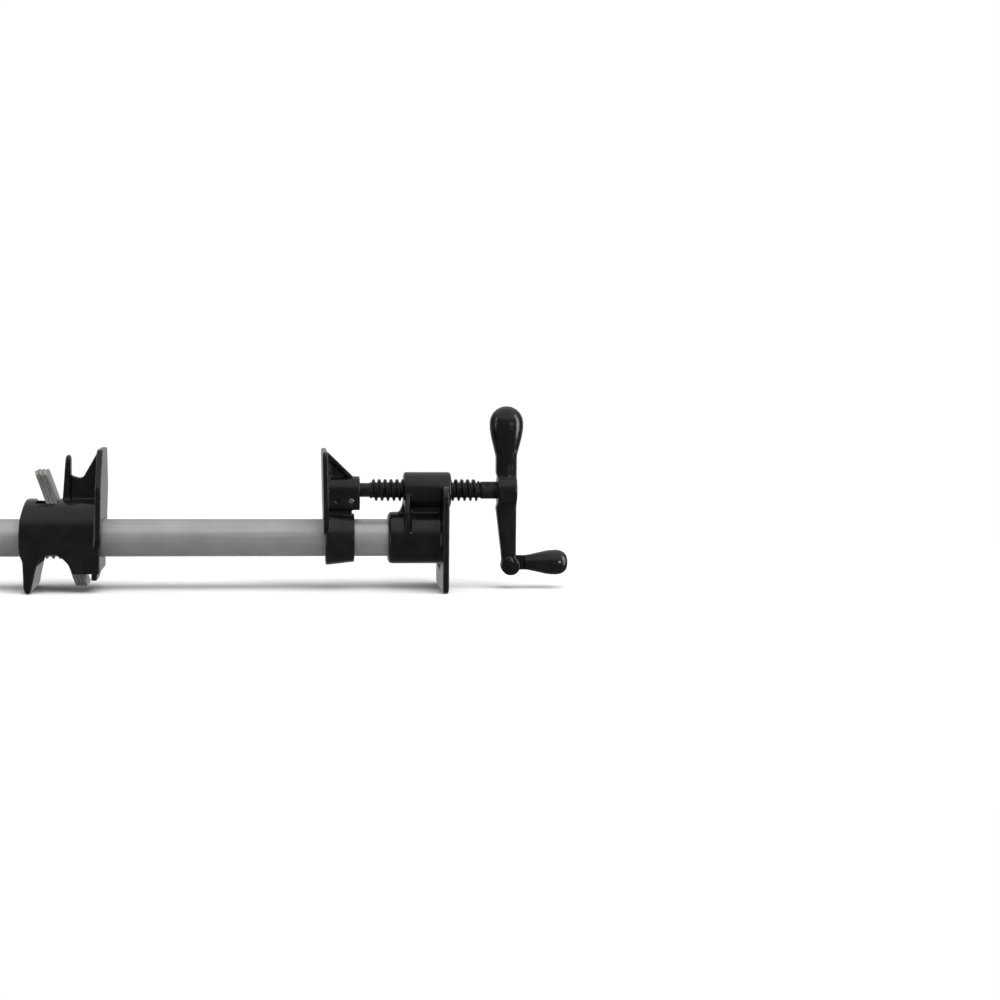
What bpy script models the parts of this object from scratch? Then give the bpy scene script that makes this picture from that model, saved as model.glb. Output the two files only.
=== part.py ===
"""Pipe clamp: a screw head and a sliding clutch stop on a length of steel pipe.

The pipe runs along X, with the crank at its +X end. The castings stand on Z = 0, the middle
of the head's foot plate is at X = 0, and Y = 0 is the plane of symmetry. Lengths are in metres.
"""

import math

import bmesh
import bpy
from mathutils import Matrix, Vector

# Clearances
GAP = 0.0003
SLIDING_CLEARANCE = 0.0005
CUT_OVERRUN = 0.003
SINK = 0.0005
MERGE_DISTANCE = 0.00001

# Fineness of round shapes
ROUND_SEGMENTS = 40
SMALL_SEGMENTS = 20
THREAD_SEGMENTS = 16
PIPE_SEGMENTS = 28
CORNER_STEPS = 4
CROWN_STEPS = 5
DOME_STEPS = 4

# Pipe
PIPE_DIAMETER = 0.02667
PIPE_WALL = 0.00287
PIPE_LENGTH = 0.4572
PIPE_AXIS_HEIGHT = 0.037
PIPE_THREAD_PITCH = 0.001814
PIPE_THREAD_LENGTH = 0.0165
PIPE_THREAD_DEPTH = 0.0009
PIPE_SEAT_DEPTH = 0.004

# Head casting
SCREW_RISE = 0.0342
FOOT_PLATE_THICKNESS = 0.0045
FOOT_PLATE_WIDTH = 0.070
FOOT_PLATE_HEIGHT = 0.0756
FOOT_CORNER_RADIUS = 0.005
SHOULDER_CORNER_RADIUS = 0.010
SOCKET_DIAMETER = 0.0373
SOCKET_LENGTH = 0.0423
SOCKET_ROUNDING = 0.0022
SOCKET_LIP_DIAMETER = 0.0296
RIM_CHAMFER = 0.0010
NUT_DIAMETER = 0.026
NUT_LENGTH = 0.034
NUT_OVERHANG = 0.0031
HEAD_WEB_THICKNESS = 0.011
HEAD_WEB_BULGE = 0.0026
WEB_BULGE_SHARE = 0.6
HEAD_WEB_FOOT = 0.0050
END_WALL_THICKNESS = 0.0038
END_WALL_WIDTH = 0.039
HEAD_GUSSET_DEPTH = 0.0042
HEAD_GUSSET_THICKNESS = 0.0040
HEAD_GUSSET_FOOT = 0.0125

# Screw thread, shared by the spindle and the nut
SCREW_DIAMETER = 0.0156
SCREW_PITCH = 0.004233
SCREW_THREAD_DEPTH = 0.0023
THREAD_ORIGIN = 0.0007
THREAD_CREST_SHARE = 0.30
THREAD_ROOT_SHARE = 0.62

# Spindle
THREAD_LEFT_OF_NUT = 0.0238
THREAD_RIGHT_OF_NUT = 0.0214
SHANK_DIAMETER = 0.0124
SHANK_LENGTH = 0.0122
NECK_DIAMETER = 0.0100
COLLAR_DIAMETER = 0.0136
COLLAR_LENGTH = 0.0100
TENON_WIDTH = 0.0090
PEENED_DIAMETER = 0.0118
PEENED_HEIGHT = 0.0014
PEENED_CROWN_SHARE = 0.50
PEENED_FLAT_SHARE = 0.60

# Front jaw
RING_TO_SOCKET = 0.0237
RING_LENGTH = 0.0206
JAW_FACE_OVERHANG = 0.0016
RING_FRONT_DIAMETER = 0.0392
RING_BACK_DIAMETER = 0.0348
JAW_TOP_RISE = 0.0628
JAW_PLATE_THICKNESS = 0.0036
JAW_PLATE_WIDTH = 0.0624
JAW_CORNER_RADIUS = 0.004
JAW_SHOULDER_RISE = 0.022
JAW_HEEL_RISE = 0.004
TOE_IN = math.radians(1.2)
BOSS_WIDTH = 0.0210
BOSS_TOP = 0.0098
BOSS_BOTTOM = 0.0139
BOSS_OVERHANG = 0.0038
BOSS_BOTTOM_RADIUS = 0.003
NECK_WEB_WIDTH = 0.0150
NECK_WEB_INSET = 0.0018
BRACE_THICKNESS = 0.0120
BRACE_WEB_THICKNESS = 0.0060
BRACE_RIM = 0.0030
BRACE_INSET = 0.0048
JAW_PIN_DIAMETER = 0.0038
JAW_PIN_DROP = 0.0072
JAW_PIN_FROM_MOUTH = 0.0062
DIMPLE_DIAMETER = 0.0032
DIMPLE_DEPTH = 0.0009
DIMPLE_FROM_PIN = 0.0102

# Crank
CRANK_BALL_DIAMETER = 0.0245
CRANK_BALL_RISE = 0.0483
CRANK_BALL_CROWN = 0.0123
CRANK_ARM_THICKNESS = 0.0120
CRANK_ARM_WIDTH = 0.0148
CRANK_ARM_END_WIDTH = 0.0104
CRANK_ARM_ROUNDING = 0.0022
CRANK_HUB_DIAMETER = 0.0234
CRANK_HUB_LENGTH = 0.0138
GRIP_PIVOT_DROP = 0.0506
GRIP_PIVOT_INSET = 0.0059
KNUCKLE_OFFSET = (0.0021, 0, -0.0039)
KNUCKLE_DIAMETER = 0.0136
KNUCKLE_WIDTH = 0.0130
FORK_SLOT = 0.0058
FORK_SLOT_CLEARANCE = 0.0004

# Grip and its rivet
TONGUE_THICKNESS = 0.0050
TONGUE_WIDTH = 0.0104
TONGUE_EYE_DIAMETER = 0.0092
TONGUE_TAPER_LENGTH = 0.0030
GRIP_AXIS_DROP = 0.0016
GRIP_NECK_START = 0.0122
GRIP_LENGTH = 0.0438
GRIP_DIAMETER = 0.0182
RIVET_DIAMETER = 0.0040
RIVET_HEAD_DIAMETER = 0.0074
RIVET_HEAD_HEIGHT = 0.0021

# Tail stop
JAW_OPENING = 0.1544
TAIL_LENGTH = 0.0567
TAIL_TOP_RISE = 0.0635
TAIL_TOP_WIDTH = 0.040
TAIL_PLATE_WIDTH = 0.0650
TAIL_SHOULDER_RISE = 0.037
TAIL_WAIST_RISE = -0.001
TAIL_WAIST_WIDTH = 0.0580
TAIL_TIP_WIDTH = 0.027
TAIL_TIP_DROP = 0.0295
TAIL_TIP_RETREAT = 0.0043
TAIL_PLATE_THICKNESS = 0.0042
TAIL_CORNER_RADIUS = 0.005
HOUSING_WIDTH = 0.0520
HOUSING_TOP_RISE = 0.0275
HOUSING_CROWN_RADIUS = 0.0210
HOUSING_FOOT_WIDTH = 0.0560
HOUSING_WALL = 0.0043
HOUSING_END_WALL = 0.0070
FOOT_WALL_HEIGHT = 0.0190
FOOT_WALL_REACH = 0.0160
TAB_WIDTH = 0.012
TAB_TOP_RISE = 0.0589
TAB_TOP_THICKNESS = 0.0032
TAB_BASE_THICKNESS = 0.0060
TAB_FROM_FACE = 0.0225
TAB_CORNER_RADIUS = 0.0045
TAIL_WEB_THICKNESS = 0.0070
TAIL_WEB_DIP = 0.0426
TAIL_WEB_TOP = 0.0612
TAIL_WEB_DIP_OFFSET = 0.0058
TAIL_WEB_SLOPE_START = 0.0086
TAIL_WEB_LIFT = 0.0018

# Clutch plates
PLATE_COUNT = 3
PLATE_THICKNESS = 0.0023
PLATE_TILT = math.radians(19.5)
PLATE_BORE_DIAMETER = 0.0302
PLATE_BODY_DIAMETER = 0.0395
PLATE_TAB_WIDTH = 0.0250
PLATE_TAIL_WIDTH = 0.0300
PLATE_ABOVE_AXIS = 0.0510
PLATE_BELOW_AXIS = 0.0350
PLATE_CORNER_RADIUS = 0.004
FULCRUM_FROM_FACE = 0.0314
SLOT_LENGTH = 0.0152
SLOT_SIDE_CLEARANCE = 0.0010
SLOT_DEPTH = 0.012

# Clutch spring
SPRING_WIRE = 0.0017
SPRING_CLEARANCE = 0.0008
SPRING_CURLS = 5
SPRING_POINTS = 10
SPRING_LEAST_GAP = 0.0004

# Side view of the housing, from its left end to the jaw plate and from the ground to its top
HOUSING_SIDE_SHARES = (
    (0.095, 1.000),
    (0.045, 0.930),
    (0.012, 0.800),
    (0.000, 0.640),
    (0.000, 0.480),
    (0.018, 0.410),
    (0.048, 0.350),
    (0.058, 0.230),
    (0.062, 0.080),
    (0.085, 0.015),
    (0.120, 0.000),
    (0.150, 0.012),
    (0.170, 0.050),
    (0.205, 0.190),
    (0.240, 0.310),
    (0.285, 0.370),
    (0.350, 0.410),
    (0.420, 0.424),
    (0.500, 0.422),
    (0.560, 0.390),
    (0.620, 0.345),
    (0.670, 0.290),
    (0.700, 0.215),
    (1.060, 0.215),
    (1.060, 1.000),
)
SIDE_TOP_SHARE = 1.1

# Teardrop of the grip, as shares of its length past the neck and of its radius
GRIP_PROFILE_SHARES = (
    (0.00, 0.560),
    (0.10, 0.630),
    (0.20, 0.700),
    (0.30, 0.780),
    (0.40, 0.860),
    (0.49, 0.930),
    (0.62, 0.985),
    (0.75, 1.000),
    (0.84, 0.940),
    (0.92, 0.780),
    (0.965, 0.600),
    (0.99, 0.360),
)

# Neck of the crank's ball, as shares of the drop from its centre to the hub and of its radius
BALL_NECK_SHARES = (
    (0.00, 1.000),
    (0.10, 0.985),
    (0.22, 0.900),
    (0.34, 0.780),
    (0.46, 0.660),
    (0.58, 0.590),
    (0.80, 0.560),
)

# Sizes that follow from those above
PIPE_RADIUS = PIPE_DIAMETER / 2
SCREW_RADIUS = SCREW_DIAMETER / 2
SCREW_HEIGHT = PIPE_AXIS_HEIGHT + SCREW_RISE
FOOT_PLATE_RIGHT = FOOT_PLATE_THICKNESS / 2
SOCKET_LEFT = FOOT_PLATE_RIGHT - SOCKET_LENGTH
NUT_RIGHT = FOOT_PLATE_RIGHT + NUT_OVERHANG
NUT_LEFT = NUT_RIGHT - NUT_LENGTH
PIPE_RIGHT = FOOT_PLATE_RIGHT - PIPE_SEAT_DEPTH
PIPE_LEFT = PIPE_RIGHT - PIPE_LENGTH
THREAD_LEFT = NUT_LEFT - THREAD_LEFT_OF_NUT
THREAD_RIGHT = NUT_RIGHT + THREAD_RIGHT_OF_NUT
HUB_LEFT = THREAD_RIGHT + SHANK_LENGTH
HUB_RIGHT = HUB_LEFT + CRANK_HUB_LENGTH
CRANK_CENTRE = (HUB_LEFT + HUB_RIGHT) / 2
GRIP_PIVOT = Vector((HUB_RIGHT - GRIP_PIVOT_INSET, 0, SCREW_HEIGHT - GRIP_PIVOT_DROP))
KNUCKLE = GRIP_PIVOT + Vector(KNUCKLE_OFFSET)
RING_RIGHT = SOCKET_LEFT - RING_TO_SOCKET
RING_LEFT = RING_RIGHT - RING_LENGTH
JAW_FACE = RING_LEFT - JAW_FACE_OVERHANG
BOSS_RIGHT = RING_RIGHT + BOSS_OVERHANG
JAW_PIN_X = BOSS_RIGHT - JAW_PIN_FROM_MOUTH
COLLAR_RIGHT = JAW_PIN_X - JAW_PIN_DIAMETER / 2 - GAP
COLLAR_LEFT = COLLAR_RIGHT - COLLAR_LENGTH
TAIL_FACE = JAW_FACE - JAW_OPENING
TAIL_LEFT = TAIL_FACE - TAIL_LENGTH
HOUSING_LENGTH = TAIL_LENGTH - TAIL_PLATE_THICKNESS
HOUSING_HEIGHT = PIPE_AXIS_HEIGHT + HOUSING_TOP_RISE
CAVITY_LEFT = TAIL_LEFT + HOUSING_END_WALL
FULCRUM_X = TAIL_FACE - FULCRUM_FROM_FACE
FULCRUM_HEIGHT = PIPE_AXIS_HEIGHT + HOUSING_TOP_RISE
PLATE_SPACING = (PLATE_THICKNESS + GAP) / math.cos(PLATE_TILT)
BORE_RADIUS = PIPE_RADIUS + SLIDING_CLEARANCE


def clear_scene():
    """Remove every object, mesh, curve and material that the file starts with."""
    for item in list(bpy.data.objects):
        bpy.data.objects.remove(item, do_unlink=True)
    for group in (bpy.data.meshes, bpy.data.curves, bpy.data.materials):
        for item in list(group):
            group.remove(item)


def new_collection(name):
    """Make a collection in the scene."""
    collection = bpy.data.collections.new(name)
    bpy.context.scene.collection.children.link(collection)
    return collection


clear_scene()
PARTS = new_collection("pipe_clamp")
CUTTERS = new_collection("pipe_clamp_cutters")


def material(name, colour, roughness, metallic):
    """Make a plain material with a Principled shader."""
    made = bpy.data.materials.new(name)
    made.use_nodes = True
    shader = made.node_tree.nodes["Principled BSDF"]
    shader.inputs["Base Color"].default_value = (*colour, 1)
    shader.inputs["Roughness"].default_value = roughness
    shader.inputs["Metallic"].default_value = metallic
    return made


BLACK_PAINT = material("black_paint", (0.012, 0.012, 0.013), 0.28, 0.0)
BLACK_OXIDE = material("black_oxide", (0.035, 0.035, 0.038), 0.36, 0.8)
PIPE_STEEL = material("pipe_steel", (0.42, 0.42, 0.43), 0.38, 0.9)
ZINC_PLATE = material("zinc_plate", (0.62, 0.62, 0.60), 0.32, 0.9)
PIN_STEEL = material("pin_steel", (0.55, 0.55, 0.55), 0.30, 1.0)
SPRING_STEEL = material("spring_steel", (0.50, 0.50, 0.51), 0.28, 1.0)

ALONG_Z = Matrix.Identity(4)
ALONG_X = Matrix(((0, 0, 1, 0), (1, 0, 0, 0), (0, 1, 0, 0), (0, 0, 0, 1)))
ALONG_Y = Matrix(((1, 0, 0, 0), (0, 0, -1, 0), (0, 1, 0, 0), (0, 0, 0, 1)))


def mesh_of(source):
    """Evaluate an object and return its shape as a welded mesh in world space."""
    bpy.context.view_layer.update()
    evaluated = source.evaluated_get(bpy.context.evaluated_depsgraph_get())
    mesh = bpy.data.meshes.new_from_object(evaluated)
    mesh.transform(source.matrix_world)
    work = bmesh.new()
    work.from_mesh(mesh)
    bmesh.ops.remove_doubles(work, verts=work.verts, dist=MERGE_DISTANCE)
    bmesh.ops.recalc_face_normals(work, faces=work.faces)
    work.to_mesh(mesh)
    work.free()
    return mesh


def settled(source):
    """Swap an object for a plain mesh object of the same shape and name."""
    name = source.name
    mesh = mesh_of(source)
    bpy.data.objects.remove(source, do_unlink=True)
    mesh.name = name
    solid = bpy.data.objects.new(name, mesh)
    PARTS.objects.link(solid)
    return solid


def extruded(name, outline, depth, turn, place=(0, 0, 0)):
    """Make a solid from a flat outline, with its depth centred on the place."""
    curve = bpy.data.curves.new(name, "CURVE")
    curve.dimensions = "2D"
    curve.fill_mode = "BOTH"
    curve.extrude = depth / 2
    spline = curve.splines.new("POLY")
    spline.points.add(len(outline) - 1)
    for point, (across, up) in zip(spline.points, outline):
        point.co = (across, up, 0, 1)
    spline.use_cyclic_u = True
    shape = bpy.data.objects.new(name, curve)
    shape.matrix_world = Matrix.Translation(place) @ turn
    PARTS.objects.link(shape)
    return settled(shape)


def turned(name, profile, turn, place, segments=ROUND_SEGMENTS):
    """Turn a profile of (radius, height) points, given from top to bottom, about an axis."""
    edges = [(index, index + 1) for index in range(len(profile) - 1)]
    mesh = bpy.data.meshes.new(name)
    mesh.from_pydata([(radius, 0, height) for radius, height in profile], edges, [])
    shape = bpy.data.objects.new(name, mesh)
    screw = shape.modifiers.new("turn", "SCREW")
    screw.axis = "Z"
    screw.steps = segments
    screw.render_steps = segments
    screw.use_merge_vertices = True
    screw.merge_threshold = MERGE_DISTANCE
    shape.matrix_world = Matrix.Translation(place) @ turn
    PARTS.objects.link(shape)
    return settled(shape)


def rod(name, radius, low, high, turn, place, segments=ROUND_SEGMENTS):
    """Make a plain round bar between two heights on an axis."""
    profile = [(0, high), (radius, high), (radius, low), (0, low)]
    return turned(name, profile, turn, place, segments)


def block(name, low, high):
    """Make a box between two corners."""
    low, high = Vector(low), Vector(high)
    bpy.ops.mesh.primitive_cube_add(size=1, location=(low + high) / 2)
    shape = bpy.context.object
    shape.name = name
    shape.scale = high - low
    for holder in list(shape.users_collection):
        holder.objects.unlink(shape)
    PARTS.objects.link(shape)
    return settled(shape)


def softened(shape, width, steps=2):
    """Round the edges of a shape."""
    bevel = shape.modifiers.new("rounding", "BEVEL")
    bevel.width = width
    bevel.segments = steps
    bevel.limit_method = "ANGLE"
    return settled(shape)


def combined(base, other, operation):
    """Join another shape to the base, or keep only what both share."""
    boolean = base.modifiers.new(other.name, "BOOLEAN")
    boolean.operation = operation
    boolean.solver = "EXACT"
    boolean.object = other
    result = settled(base)
    bpy.data.objects.remove(other, do_unlink=True)
    return result


def joined(base, *others):
    """Join shapes into one body."""
    for other in others:
        base = combined(base, other, "UNION")
    return base


def cut(base, cutter):
    """Cut the base with a shape that stays in the cutters' collection."""
    for holder in list(cutter.users_collection):
        holder.objects.unlink(cutter)
    CUTTERS.objects.link(cutter)
    cutter.hide_render = True
    cutter.display_type = "WIRE"
    boolean = base.modifiers.new(cutter.name, "BOOLEAN")
    boolean.operation = "DIFFERENCE"
    boolean.solver = "EXACT"
    boolean.object = cutter
    weld = base.modifiers.new(f"{cutter.name}_weld", "WELD")
    weld.merge_threshold = MERGE_DISTANCE


def rounded(corners, steps=CORNER_STEPS):
    """Give the outline through (across, up, radius) corners, with an arc at each radius."""
    outline = []
    count = len(corners)
    for index, (across, up, radius) in enumerate(corners):
        corner = Vector((across, up))
        if not radius:
            outline.append(tuple(corner))
            continue
        before = (Vector(corners[index - 1][:2]) - corner).normalized()
        after = (Vector(corners[(index + 1) % count][:2]) - corner).normalized()
        half = before.angle(after) / 2
        reach = radius / math.tan(half)
        centre = corner + (before + after).normalized() * radius / math.sin(half)
        start = corner + before * reach - centre
        sweep = math.pi - 2 * half
        if before.x * after.y - before.y * after.x > 0:
            sweep = -sweep
        for step in range(steps + 1):
            arm = start.copy()
            arm.rotate(Matrix.Rotation(sweep * step / steps, 2))
            outline.append(tuple(centre + arm))
    return outline


def quarter_round(radius, height, steps):
    """Give the (radius, height) points of a quarter of an ellipse, from its top to its rim."""
    points = [(0, height)]
    for step in range(1, steps):
        angle = math.pi / 2 * (1 - step / steps)
        points.append((radius * math.cos(angle), height * math.sin(angle)))
    points.append((radius, 0))
    return points


def mirrored(half):
    """Give corners on both sides of zero from those on the right, listed from the top down."""
    return [(-across, up, radius) for across, up, radius in reversed(half)] + list(half)


def threaded_bar(name, left_end, right_end, core, crest, pitch, segments, widening=0):
    """Make a round bar along X with a right-hand thread between its two turned ends.

    Each end lists its (radius, x) points, from the thread outward. The thread's phase is
    counted from one origin, so that two threads of one pitch mesh, and it runs out at both
    ends. The widening is added to both flanks.
    """
    root_half = pitch * THREAD_ROOT_SHARE / 2 + widening
    crest_half = pitch * THREAD_CREST_SHARE / 2 + widening
    start = left_end[0][1] + root_half + pitch / segments
    reach = right_end[0][1] - root_half - pitch / segments - start
    steps = int(reach / pitch * segments)
    run_out = segments // 2
    work = bmesh.new()

    def spot(x, radius, step):
        angle = 2 * math.pi * ((start - THREAD_ORIGIN) / pitch + step / segments)
        return work.verts.new((x, -radius * math.sin(angle), radius * math.cos(angle)))

    sections = []
    for step in range(steps + 1):
        x = start + pitch * step / segments
        top = core + (crest - core) * min(1, step / run_out, (steps - step) / run_out)
        sections.append([
            spot(x - root_half, core, step),
            spot(x - crest_half, top, step),
            spot(x + crest_half, top, step),
            spot(x + root_half, core, step),
        ])
    for first, second in zip(sections, sections[1:]):
        for index in range(3):
            work.faces.new((first[index], first[index + 1], second[index + 1], second[index]))
    for step in range(steps - segments):
        first, second = sections[step], sections[step + 1]
        after = sections[step + segments]
        beyond = sections[step + segments + 1]
        work.faces.new((first[3], after[0], beyond[0], second[3]))

    last = steps - segments
    left_edge = [section[0] for section in sections[:segments]]
    left_seam = sections[0] + [sections[segments][0]]
    right_edge = [section[3] for section in reversed(sections[last + 1:])]
    right_seam = list(reversed(sections[steps])) + [sections[last][3]]
    for inner, seam, ends, phase, direction in (
        (left_edge, left_seam, left_end, 0, 1),
        (right_edge, right_seam, right_end, steps, -1),
    ):
        for radius, x in ends:
            ring = [spot(x, radius, phase + direction * step) for step in range(segments)]
            for index in range(segments - 1):
                work.faces.new((inner[index], inner[index + 1], ring[index + 1], ring[index]))
            work.faces.new([ring[-1], ring[0]] + seam + [inner[-1]])
            inner = ring
            seam = [ring[0]]
        work.faces.new(inner)
    bmesh.ops.recalc_face_normals(work, faces=work.faces)
    mesh = bpy.data.meshes.new(name)
    work.to_mesh(mesh)
    work.free()
    bar = bpy.data.objects.new(name, mesh)
    PARTS.objects.link(bar)
    return bar


def finish(shape, look, origin, parent=None):
    """Give a piece its material, smooth shading and an origin on its joint's axis."""
    origin = Vector(origin)
    shape.data.transform(Matrix.Translation(-origin))
    shape.location = origin
    shape.data.materials.clear()
    shape.data.materials.append(look)
    shape.data.shade_smooth()
    shape.data.set_sharp_from_angle(angle=math.radians(35))
    if parent:
        bpy.context.view_layer.update()
        shape.parent = parent
        shape.matrix_parent_inverse = parent.matrix_world.inverted()
    return shape


def axis_marker(name, place, parent=None):
    """Make an empty on a joint's axis."""
    marker = bpy.data.objects.new(name, None)
    marker.empty_display_size = PIPE_RADIUS
    marker.location = place
    PARTS.objects.link(marker)
    bpy.context.view_layer.update()
    if parent:
        marker.parent = parent
        marker.matrix_parent_inverse = parent.matrix_world.inverted()
        bpy.context.view_layer.update()
    return marker


PIPE_LINE = (0, 0, PIPE_AXIS_HEIGHT)
SCREW_LINE = (0, 0, SCREW_HEIGHT)


def build_pipe():
    """Make the pipe, threaded at its free end."""
    core = PIPE_RADIUS - PIPE_THREAD_DEPTH
    thread_end = PIPE_LEFT + PIPE_THREAD_LENGTH
    right_end = [(core, thread_end), (PIPE_RADIUS, thread_end + PIPE_THREAD_DEPTH),
                 (PIPE_RADIUS, PIPE_RIGHT)]
    pipe = threaded_bar("pipe", [(core, PIPE_LEFT)], right_end, core, PIPE_RADIUS - GAP / 2,
                        PIPE_THREAD_PITCH, PIPE_SEGMENTS)
    pipe.location = PIPE_LINE
    pipe = settled(pipe)
    cut(pipe, rod("pipe_bore", PIPE_RADIUS - PIPE_WALL, PIPE_LEFT - CUT_OVERRUN,
                  PIPE_RIGHT + CUT_OVERRUN, ALONG_X, PIPE_LINE, PIPE_SEGMENTS))
    return finish(pipe, PIPE_STEEL, (PIPE_RIGHT, 0, PIPE_AXIS_HEIGHT))


def build_head():
    """Make the head casting: foot plate, pipe socket, nut barrel and the web between them."""
    half = FOOT_PLATE_WIDTH / 2
    corners = mirrored([
        (half, FOOT_PLATE_HEIGHT, SHOULDER_CORNER_RADIUS),
        (half, 0, FOOT_CORNER_RADIUS),
    ])
    head = extruded("head_casting", rounded(corners), FOOT_PLATE_THICKNESS, ALONG_X)
    head = softened(head, FOOT_PLATE_THICKNESS / 5, 1)
    radius = SOCKET_DIAMETER / 2
    lip = SOCKET_LIP_DIAMETER / 2
    socket_profile = [
        (0, FOOT_PLATE_RIGHT),
        (radius, FOOT_PLATE_RIGHT),
        (radius, SOCKET_LEFT + SOCKET_ROUNDING),
        ((radius * 2 + lip) / 3, SOCKET_LEFT + SOCKET_ROUNDING / 3),
        (lip, SOCKET_LEFT),
        (0, SOCKET_LEFT),
    ]
    socket = turned("socket", socket_profile, ALONG_X, PIPE_LINE)
    nut_radius = NUT_DIAMETER / 2
    nut_profile = [
        (0, NUT_RIGHT),
        (nut_radius - RIM_CHAMFER, NUT_RIGHT),
        (nut_radius, NUT_RIGHT - RIM_CHAMFER),
        (nut_radius, NUT_LEFT + RIM_CHAMFER),
        (nut_radius - RIM_CHAMFER, NUT_LEFT),
        (0, NUT_LEFT),
    ]
    nut = turned("nut", nut_profile, ALONG_X, SCREW_LINE)
    web_foot = PIPE_AXIS_HEIGHT + radius
    web_outline = [
        (NUT_LEFT + SINK, SCREW_HEIGHT),
        (NUT_LEFT + SINK, SCREW_HEIGHT - nut_radius / 2),
        (NUT_LEFT - HEAD_WEB_BULGE * WEB_BULGE_SHARE, web_foot + HEAD_WEB_FOOT / 2),
        (NUT_LEFT - HEAD_WEB_BULGE, web_foot + SINK),
        (NUT_LEFT - HEAD_WEB_BULGE - HEAD_WEB_FOOT, PIPE_AXIS_HEIGHT + PIPE_RADIUS),
        (0, PIPE_AXIS_HEIGHT + PIPE_RADIUS),
        (0, SCREW_HEIGHT),
    ]
    web = extruded("head_web", web_outline, HEAD_WEB_THICKNESS, ALONG_Y)
    middle = PIPE_AXIS_HEIGHT + SCREW_RISE / 2
    wall_outline = rounded(mirrored([
        (nut_radius - SINK, SCREW_HEIGHT, 0),
        (END_WALL_WIDTH / 2, middle, SCREW_RISE / 2),
        (radius - SINK, PIPE_AXIS_HEIGHT, 0),
    ]))
    wall_centre = (NUT_LEFT + SINK + END_WALL_THICKNESS / 2, 0, 0)
    wall = extruded("end_wall", wall_outline, END_WALL_THICKNESS, ALONG_X, wall_centre)
    gusset_outline = [
        (-HEAD_GUSSET_DEPTH, PIPE_AXIS_HEIGHT - radius + SINK * 2),
        (0, PIPE_AXIS_HEIGHT - radius + SINK * 2),
        (0, HEAD_GUSSET_FOOT),
        (-FOOT_PLATE_RIGHT, HEAD_GUSSET_FOOT),
    ]
    gusset = extruded("gusset", gusset_outline, HEAD_GUSSET_THICKNESS, ALONG_Y)
    head = joined(head, socket, nut, web, wall, gusset)
    bore = rod("socket_bore", PIPE_RADIUS + GAP, SOCKET_LEFT - CUT_OVERRUN,
               FOOT_PLATE_RIGHT + CUT_OVERRUN, ALONG_X, PIPE_LINE)
    cut(head, bore)
    cut(head, build_nut_cutter())
    return finish(head, BLACK_PAINT, (0, 0, 0))


def build_nut_cutter():
    """Make the cutter for the nut's thread: the screw's own form with clearance all round."""
    core = SCREW_RADIUS - SCREW_THREAD_DEPTH + GAP
    cutter = threaded_bar("nut_thread", [(core, NUT_LEFT - SCREW_PITCH * 2)],
                          [(core, NUT_RIGHT + SCREW_PITCH * 2)], core, SCREW_RADIUS + GAP,
                          SCREW_PITCH, THREAD_SEGMENTS, GAP)
    cutter.location = SCREW_LINE
    return settled(cutter)


def build_spindle(parent):
    """Make the screw: collar, neck, thread, shank, square tenon and peened end."""
    core = SCREW_RADIUS - SCREW_THREAD_DEPTH
    collar = COLLAR_DIAMETER / 2
    neck = NECK_DIAMETER / 2
    shank = SHANK_DIAMETER / 2
    left_end = [
        (core, THREAD_LEFT),
        (neck, THREAD_LEFT - (core - neck)),
        (neck, COLLAR_RIGHT),
        (collar, COLLAR_RIGHT),
        (collar, COLLAR_LEFT + SINK * 2),
        (collar - SINK * 2, COLLAR_LEFT),
    ]
    right_end = [
        (core, THREAD_RIGHT - (shank - core)),
        (shank, THREAD_RIGHT),
        (shank, HUB_LEFT - GAP),
    ]
    spindle = threaded_bar("spindle", left_end, right_end, core, SCREW_RADIUS, SCREW_PITCH,
                           THREAD_SEGMENTS)
    half = TENON_WIDTH / 2
    peened = PEENED_DIAMETER / 2
    tenon = block("tenon", (HUB_LEFT - SINK * 2, -half, -half), (HUB_RIGHT, half, half))
    head_profile = [
        (0, HUB_RIGHT + PEENED_HEIGHT * PEENED_CROWN_SHARE),
        (peened * PEENED_FLAT_SHARE, HUB_RIGHT + PEENED_HEIGHT * PEENED_FLAT_SHARE / 2),
        (peened, HUB_RIGHT - PEENED_HEIGHT / 3),
        (peened, HUB_RIGHT - PEENED_HEIGHT),
        (0, HUB_RIGHT - PEENED_HEIGHT),
    ]
    peened_end = turned("peened_end", head_profile, ALONG_X, (0, 0, 0), SMALL_SEGMENTS)
    spindle = joined(spindle, tenon, peened_end)
    spindle.location = SCREW_LINE
    return finish(settled(spindle), BLACK_OXIDE, (THREAD_LEFT, 0, SCREW_HEIGHT), parent)


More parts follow.
